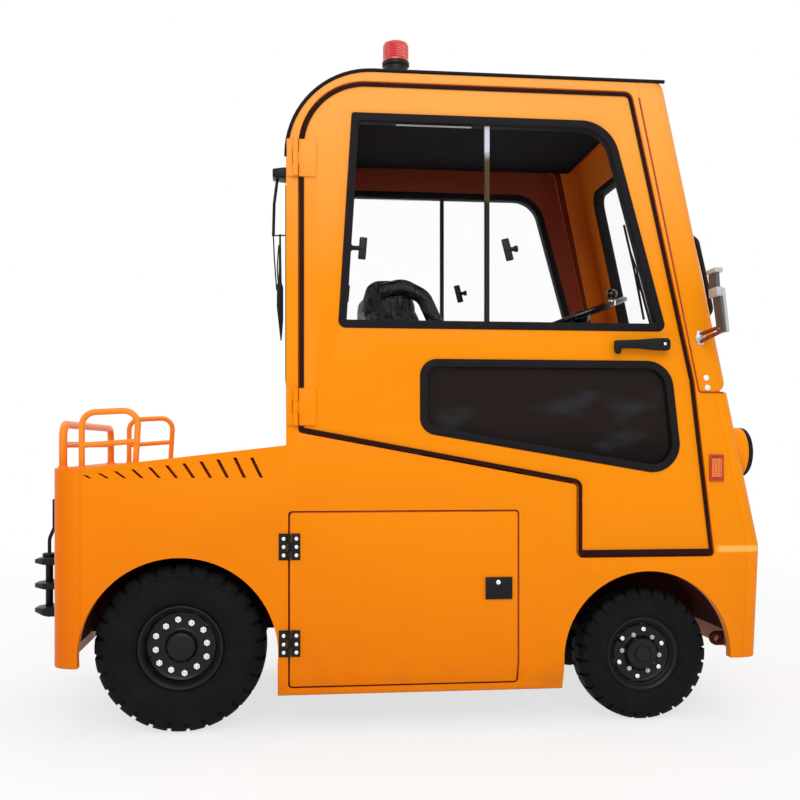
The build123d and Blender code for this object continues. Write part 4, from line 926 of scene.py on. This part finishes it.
def makeLamps():
    look = lampLook
    r, tip, back, lensR = (look[key] for key in ("r", "tip", "back", "lensR"))
    centre = at(0, look["y"], look["z"])
    shell = [(0, back), (r * 0.9, back), (r, back + 12), (r, tip - 30), (r * 0.985, tip - 18), (r * 0.94, tip - 8),
             (r * 0.88, tip - 2), (lensR + 2, tip), (lensR, tip - 4), (lensR * 0.98, tip - 30), (0, tip - 45)]
    bothSides(lathe("lampShell", shell, centre, "X", 64), "orange", ["headlamps"])
    ring = [(lensR + 1, tip - 6), (lensR + 1, tip + 1), (lensR - 4, tip + 2), (lensR - 7, tip - 2),
            (lensR - 7, tip - 8)]
    bothSides(lathe("lampRing", ring, centre, "X", 64, math.tau, True), "bright", slot="body_paint")
    bezel = [(r * 0.985, tip - 20), (r * 1.0, tip - 14), (r * 0.975, tip - 4), (r * 0.92, tip + 0.5),
             (r * 0.88, tip + 1), (r * 0.88, tip - 6), (r * 0.93, tip - 12)]
    bothSides(lathe("lampBezel", bezel, centre, "X", 64, math.tau, True), "rubber", slot="body_paint")
    bowl = [(lensR - 8, tip - 6), (lensR * 0.8, tip - 22), (lensR * 0.4, tip - 36), (8, tip - 40), (8, tip - 22),
            (0, tip - 20)]
    bothSides(lathe("lampBowl", bowl, centre, "X", 48), "mirrorGlass", angle=50)
    lens = [(lensR - 6, tip - 4), (lensR * 0.8, tip + 1.5), (lensR * 0.45, tip + 5), (0, tip + 6.5)]
    bothSides(lathe("lampLens", lens, centre, "X", 48), "lampPane", ["headlamp_lenses"], angle=60)

    x0, x1, z0, z1 = look["marker"]
    case = block("markerCase", at(x0, -560, z0), at(x1, -549, z1))
    facing(case, (0, -1, 0), 6, (0, 4, 0), True)
    bothSides(rounded(case, 1.8, 2), "markerCase", ["marker_lamps"])
    lens = block("markerLens", at(x0 + 7, -560.5, z0 + 14), at(x1 - 7, -555, z1 - 14))
    facing(lens, (0, -1, 0), 4, (0, -2, 0))
    bothSides(rounded(lens, 1.5), "amberLens")
    dots = []
    for z in [z0 + 8, z1 - 8] + [z0 + 22 + 8.5 * k for k in range(7)]:
        reach = (0,) if z in (z0 + 8, z1 - 8) else (-11, 0, 11)
        for dx in reach:
            size = 3.6 if len(reach) == 1 else 2.2
            dots.append(lathe("dot", [(size, 1.5), (size, -0.6), (size * 0.5, -1.2), (0, -1.3)],
                              at((x0 + x1) / 2 + dx, -557 if len(reach) == 1 else -562.4, z), "Y", 10))
    bothSides(joined(dots, "markerDots"), "armRed", angle=60, slot="amber_lens")

    y, half, z0, z1 = look["tail"]
    x = look["rearX"]
    case = block("tailCase", at(x - 8, y - half, z0), at(x + 1, y + half, z1))
    facing(case, (-1, 0, 0), 5, (3, 0, 0), True)
    bothSides(rounded(case, 2), "plastic")
    lens = block("tailLens", at(x - 9, y - half + 6, z0 + 6), at(x - 2, y + half - 6, z1 - 40), 2.5, 3)
    bothSides(lens, "redLens")
    lens = block("turnLens", at(x - 9, y - half + 6, z1 - 38), at(x - 2, y + half - 6, z1 - 6), 2.5, 3)
    bothSides(lens, "amberLens")

    x, y, z = look["beacon"]
    base, lens, r = look["base"], look["lens"], look["baseR"]
    foot = [(0, -3), (r + 4, -3), (r + 4, 4), (r - 2, 8), (r - 6, 20), (r - 6, base - 20), (r, base - 14),
            (r, base - 3), (r - 4, base), (0, base)]
    done(lathe("beaconFoot", foot, at(x, y, z), "Z", 48), "plastic", ["beacon_base"])
    ribs = []
    for k in range(9):
        low = base + 3 + k * (lens - 14) / 9
        ribs += [(r - 2.5, low), (r - 4.5, low + 4.5)]
    dome = [(0, base - 1), (r - 3, base - 1)] + ribs
    dome += [(r - 4, base + lens - 10), (r - 8, base + lens - 4), (r - 18, base + lens), (0, base + lens)]
    done(lathe("beaconDome", dome, at(x, y, z), "Z", 48), "redLens", ["beacon_lens"], angle=50)


finishes["lampPane"] = pane("lampPane", (0.8, 0.82, 0.85), 0.22, 0.4, 0.05)
finishes["markerCase"] = ribbedLens("markerCaseRed", (0.55, 0.035, 0.004), 40.0, 0.3, 0.0, 0.1)
makeLamps()
print("lamps made")

guardLook = {
    "hoop": [(-1128, -457, 900), (-1128, -457, 1066), (-1128, 457, 1066), (-1128, 457, 900)], "hoopR": 14,
    "hoopMid": 996,
    "side": [(-1057, -500, 905), (-1057, -500, 1105), (-867, -500, 1115), (-879, -500, 915)], "sideR": 10.5,
    "sideMid": [(-1057, -500, 994), (-873, -500, 1008)], "bend": 47,
}


def makeGuard():
    look = guardLook
    rails = [pipe("hoop", [at(*v) for v in look["hoop"]], look["hoopR"], look["bend"], 5),
             pipe("hoopMid", [at(-1128, y, look["hoopMid"]) for y in (-457, 457)], look["hoopR"] - 3, 0, 5)]
    right = [pipe("sideRail", [at(*v) for v in look["side"]], look["sideR"], look["bend"], 5),
             pipe("sideMid", [at(*v) for v in look["sideMid"]], look["sideR"] - 1, 0, 5)]
    for x, y, z in ((-1057, -500, 918), (-879, -500, 918)):
        right.append(lathe("weld", [(10.5, 6), (13.5, 2), (15, -3), (0, -3)], at(x, y, z), "Z", 20))
    left = [copied(piece, piece.name, mirrorY) for piece in right]
    for y in (-457, 457):
        rails.append(lathe("weld", [(14, 6), (17.5, 2), (19, -3), (0, -3)], at(-1128, y, 918), "Z", 20))
    done(joined(rails + right + left, "guardRails"), "rail", ["rear_guard"])


finishes["rail"] = paintedSheet("railOrange", (0.93, 0.29, 0.02), (0.85, 0.22, 0.01), 0.28, None, 0.2)
makeGuard()

hitchLook = {"pin": (-1280, 0), "head": (562.3, 577.3), "pinLow": 330, "pinR": 14, "headR": 26,
             "handle": [(-1280, 0, 572), (-1280, 0, 632), (-1250, 0, 702), (-1180, 0, 712)], "handleR": 7}


def makeHitch():
    look = hitchLook
    dressed("tow_hitch", 4, "black")
    x, y = look["pin"]
    low, (head, top) = look["pinLow"], look["head"]
    r, wide = look["pinR"], look["headR"]
    shank = [(0, low), (r * 0.5, low), (r, low + 12), (r, head), (wide - 3, head), (wide, head + 3), (wide, top - 3),
             (wide - 3, top), (9, top), (0, top)]
    pin = lathe("pinShank", shank, at(x, y, 0), "Z", 32)
    handle = pipe("pinHandle", [at(*v) for v in look["handle"]], look["handleR"], 50, 4)
    done(joined([pin, handle], "hitchPin"), "black", ["hitch_pin"], body="hitch_pin")


makeHitch()
print("guard and hitch made")

wiperLook = {
    "cap": (-422, -368, -46, 46, 2045, 2089), "arm": [(-402, 0, 2060), (-416, 0, 1950), (-419, 0, 1824)],
    "links": [[(-419, 0, 1826), (-415, 0, 1730), (-406, 0, 1610)],
              [(-398, 12, 1790), (-404, 12, 1700), (-397, 4, 1600)],
              [(-419, 0, 1826), (-370, 0, 1828)]],
    "blade": [(-391, 1409), (-399, 1480), (-406, 1545), (-405, 1630), (-399, 1650), (-396, 1832), (-389, 1832),
              (-386, 1640), (-380, 1620), (-380, 1495), (-386, 1411)],
    "front": {"hub": (106, 1290), "tip": (166, 1735), "y": 166, "low": 1535, "high": 1940},
    "grab": {"y": -470, "low": 1480, "high": 1750, "out": 34},
}


def frontX(z):  # the sloping front face
    return frontFoldX - (z - frontFoldZ) * frontLean


def onFront(y, z, out):
    return at(frontX(z) + out, y, z)


def makeWipers():
    look = wiperLook
    x0, x1, y0, y1, z0, z1 = look["cap"]
    cap = block("wiperCap", at(x0, y0, z0), at(x1, y1, z1))
    rounded(facing(cap, (-1, 0, 0), shrink=(1, 0.8, 0.75)), 6, 3)
    parts = [cap, pipe("arm", [at(*v) for v in look["arm"]], 6.2, 30, 3), slab("blade", look["blade"], -6, 6, 2)]
    for line in look["links"]:
        parts.append(pipe("link", [at(*v) for v in line], 2.8, 20, 3))
    done(joined(parts, "rearWiper"), "black", ["wipers_and_grab_bars"])

    f = look["front"]
    hubY, hubZ = f["hub"]
    tipY, tipZ = f["tip"]
    arm = [onFront(hubY, hubZ, 24), onFront(hubY + 4, hubZ + 60, 26), onFront(tipY, tipZ, 24)]
    low, high = onFront(f["y"], f["low"], 12), onFront(f["y"], f["high"], 12)
    blade = [low, low.lerp(high, 0.5) + Vector((0.004, 0, 0)), high]
    bridge = [low.lerp(high, 0.22), low.lerp(high, 0.5) + Vector((0.016, 0, 0.003)), low.lerp(high, 0.78)]
    pieces = [pipe("arm", arm, 6, 40, 3), pipe("blade", blade, 5.5, 200, 2), pipe("bridge", bridge, 4.2, 150, 2)]
    hub = [(20, -4), (21, 4), (19, 22), (12, 30), (0, 31)]
    pieces.append(lathe("hub", hub, onFront(hubY, hubZ, 0), "X", 24))
    done(joined(pieces, "frontWiper"), "black")

    g = look["grab"]
    y, out = g["y"], g["out"]
    low, high = g["low"], g["high"]
    run = [(low - 12, 2), (low + 4, out - 6), ((low + high) / 2, out - 4), (high - 4, out - 6), (high + 12, 2)]
    bar = pipe("bar", [onFront(y, z, reach) for z, reach in run], 8.5, 30, 4)
    foot = [(19, -2), (19, 4), (13, 7), (0, 7)]
    feet = [lathe("foot", foot, onFront(y, z, 0), "X", 20) for z in (low - 12, high + 12)]
    bothSides(joined([bar] + feet, "grabBar"), "black")


makeWipers()

cabLook = {
    "liner": {"corner": (-66, 1992), "r": 262, "thick": 6, "front": 925, "turns": 10}, "linerY": 512,
    "binnacle": [(985, 1292), (978, 1345), (1012, 1372), (1058, 1350), (1062, 1288)], "binnacleY": (-170, 170),
    "pedals": [(-150, 32), (60, 32), (150, 24)], "mat": (690, 1000, -430, 430, 604),
}


def makeCab():
    look = cabLook
    sheet = look["liner"]
    (cx, cz), r = sheet["corner"], sheet["r"]
    turns = [math.radians(22 + 68 * k / sheet["turns"]) for k in range(sheet["turns"] + 1)]
    outer = [(cx - r * math.cos(a), cz + r * math.sin(a)) for a in turns]
    r -= sheet["thick"]
    inner = [(cx - r * math.cos(a), cz + r * math.sin(a)) for a in reversed(turns)]
    ends = [(sheet["front"], outer[-1][1]), (sheet["front"], inner[0][1])]
    liner = slab("headliner", outer + ends + inner, -look["linerY"], look["linerY"], 1, 1)
    done(liner, "lining", angle=30)
    y0, y1 = look["binnacleY"]
    hood = slab("binnacle", look["binnacle"], y0, y1, 10, 3)
    done(hood, "plastic", angle=30)
    dials = []
    for y in (-95, 0, 95):
        rim = [(36, 6), (38, -2), (34, -5), (31, -2), (31, 3), (0, 3)]
        dial = lathe("dial", rim, (0, 0, 0), "X", 28)
        lean = Matrix.Rotation(math.radians(38), 4, "Y")
        dial.data.transform(Matrix.Translation(at(994, y, 1360)) @ lean)
        dials.append(dial)
    done(joined(dials, "dials"), "dial")
    pads = []
    for y, wide in look["pedals"]:
        pads.append(slab("pad", [(905, 668), (898, 676), (940, 760), (949, 755)], y - wide, y + wide, 4, 2))
        pads.append(pipe("lever", [at(925, y, 715), at(985, y, 745), at(1010, y, 890)], 8, 30, 3))
    done(joined(pads, "pedals"), "rubber", slot="black_plastic")
    x0, x1, y0, y1, z = look["mat"]
    mat = block("floorMat", at(x0, y0, z - 5), at(x1, y1, z + 4), 3)
    done(mat, "lining", angle=30)


p = Paint("dialFace")
tone = p.mix(p.noise(60.0).ramp(0.5, 0.7), (0.02, 0.02, 0.022), (0.09, 0.09, 0.095))
finishes["dial"] = p.finish(base=tone, rough=0.2 + p.noise(40.0) * 0.1, spec=0.6)
makeCab()

wheelLook = {"centre": (828, 0, 1525), "tilt": -20, "ring": 190, "tube": 12.5, "knob": (89.4, -167.6), "knobTall": 46}


def makeSteering():
    look = wheelLook
    place = Matrix.Translation(at(*look["centre"])) @ Matrix.Rotation(math.radians(look["tilt"]), 4, "Y")
    R, t = look["ring"], look["tube"]
    turns = [math.tau * k / 14 for k in range(14)]
    ring = lathe("steeringRing", [(R + t * math.cos(a), t * math.sin(a) * 0.85) for a in turns], (0, 0, 0), "Z", 64,
                 math.tau, True)
    pieces = [ring]
    for k in range(3):
        spoke = block("spoke", (0.03, -0.014, -0.012), (R / 1000 - 0.004, 0.014, 0.0))
        rounded(facing(spoke, (1, 0, 0), shrink=(1, 0.7, 0.7)), 4)
        spoke.data.transform(Matrix.Rotation(math.tau / 3 * k, 4, "Z"))
        pieces.append(spoke)
    hub = [(0, -30), (30, -30), (44, -14), (44, 6), (36, 14), (12, 18), (0, 18)]
    pieces.append(lathe("steeringHub", hub, (0, 0, 0), "Z", 32))
    wheel = joined(pieces, "steeringWheel")
    wheel.data.transform(place)
    done(wheel, "gloss", ["steering_wheel"])
    top = at(828, 0, 1525)
    axis = Vector((math.sin(math.radians(20)), 0, -math.cos(math.radians(20))))
    column = pipe("steeringColumn", [top + axis * 0.02, top + axis * 0.31, at(1030, 0, 1215)], 26, 50, 5)
    done(column, "plastic")
    u, v = look["knob"]
    tall = look["knobTall"]
    foot = place @ (Vector((u, v, t * 0.6)) / 1000)
    knob = lathe("spinnerKnob", [(4, -6), (4, 6), (11, 10), (20, 18), (22, 30), (18, tall - 4), (8, tall), (0, tall)],
                 foot, "Z", 28)
    done(knob, "gloss", angle=50)
    clamp = lathe("spinnerClamp", [(0, -18), (13, -18), (15, -12), (15, 2), (6, 8), (0, 8)], foot, "Z", 24)
    done(clamp, "bright", angle=50, slot="black_plastic")


finishes["gloss"] = moulded("glossBlack", (0.012, 0.012, 0.013), 0.14, 500.0, 0.6)
makeSteering()
print("cab fittings made")

seatLook = {
    "back": [(96, 1112), (-48, 1478), (-72, 1552), (-70, 1594), (-38, 1620), (22, 1622), (76, 1604), (104, 1566),
             (112, 1478), (180, 1112)], "backY": 232,
    "cushion": [(140, 998), (140, 1092), (560, 1106), (588, 1084), (588, 1004)], "cushionY": 228,
    "loop": [(-20, 1572), (70, 1596), (150, 1556), (204, 1440), (214, 1108)], "loopY": 240, "loopR": 29,
    "voxel": 0.005, "pressure": 4.0, "cap": 0.016, "frames": 20,
}


# the piece remeshed and blown up a little, as stuffing does, each point moving no further than the cap
def swollen(piece, cap):
    focus(piece)
    piece.data.remesh_voxel_size = seatLook["voxel"]
    bpy.ops.object.voxel_remesh()
    start = [v.co.copy() for v in piece.data.vertices]
    cloth = piece.modifiers.new("fill", "CLOTH")
    cloth.settings.use_pressure = True
    cloth.settings.uniform_pressure_force = seatLook["pressure"]
    cloth.settings.effector_weights.gravity = 0
    cloth.settings.quality = 5
    scene = bpy.context.scene
    for step in range(1, seatLook["frames"] + 1):
        scene.frame_set(step)
    bpy.ops.object.modifier_apply(modifier="fill")
    for v, rest in zip(piece.data.vertices, start):
        move = v.co - rest
        if move.length > cap:
            v.co = rest + move * (cap / move.length)
    scene.frame_set(1)
    return piece


def makeSeat():
    look = seatLook
    for name, corners, half, standsFor in (("seatBack", look["back"], look["backY"], ["seat_cushions"]),
                                           ("seatCushion", look["cushion"], look["cushionY"], ())):
        pad = slab(name, corners, -half, half, 18, 3)
        pick(pad)
        bpy.ops.mesh.subdivide(number_cuts=1)
        clear()
        swollen(pad, look["cap"])
        done(pad, "vinyl", standsFor, angle=60)
    for y, side in ((-look["loopY"], "Right"), (look["loopY"], "Left")):
        arm = pipe("seatBolster" + side, [at(x, y, z) for x, z in look["loop"]], look["loopR"], 60, 7)
        done(arm, "vinyl", angle=60)
    seams = []
    for y in (-110, 0, 110):  # the pleats' welted seams
        seams.append(pipe("welt", [at(194, y, 1130), at(124, y, 1470), at(112, y, 1550)], 3, 100, 2))
    done(joined(seams, "seatWelts"), "vinyl", angle=60)


makeSeat()
print("seat made")

plateLook = {"rear": (-1153.5, -105, 105, 640, 700), "screwIn": 12}


def makePlates():  # a blank number plate, and reflectors at the rear corners
    screws = []
    x, y0, y1, z0, z1 = plateLook["rear"]
    plate = block("plate", at(x - 2.5, y0, z0), at(x + 2, y1, z1))
    facing(plate, (-1, 0, 0), 5, (1, 0, 0))
    for y in (y0 + plateLook["screwIn"], y1 - plateLook["screwIn"]):
        profile = [(5, 2), (5, -1.2), (3, -2.6), (0, -3)]
        screws.append(lathe("screw", profile, at(x - 2.5, y, (z0 + z1) / 2), "X", 14))
    done(joined([rounded(plate, 0.8, 1)], "rearPlate"), "palePaint", slot="body_paint")
    done(joined(screws, "plateScrews"), "steel", angle=50)
    disc = [(0, -5.5), (20, -5), (27, -3), (29, 2)]
    bothSides(lathe("rearReflector", disc, at(-1152, -430, 640), "X", 32), "redLens", angle=50)


makePlates()

# nodes shown by a copy with its edges broken: how wide the break is in millimetres, and the finish if it is its own
skins = {
    "axles": (3,), "leaf_springs": (1.5,), "frame_rails": (3,), "frame_crossmembers": (3,), "tow_lugs": (3, "lugRed"),
    "battery_pack": (6,), "seat_base": (6,), "dash_console": (12,), "cab_floor": (3,), "arch_liners": (2,),
    "steering_knuckle_{}": (2,), "glass_seals": (2.5,), "door_seal_{}": (2, "doorSeal"), "service_door_{}": (1.8,),
    "door_panel_{}": (1.5, "cabOrange"), "nose_panel": (4, "cabOrange"), "windscreen_frame": (3, "pillarOrange"),
    "rear_panel": (3,), "cab_roof": (4, "cabOrange"), "cab_rear_wall": (3, "cabOrange"), "rear_deck": (2.5,),
    "body_side_{}": (2, "sideOrange"),
}
finishes["pillarOrange"] = paintedSheet("pillarOrange", inside=(0.9, 0.2, 0.01))
for stem, (width, *finish) in skins.items():
    for side in ("left", "right") if "{}" in stem else ("",):
        dressed(stem.format(side), width, *finish)
print("skins made")
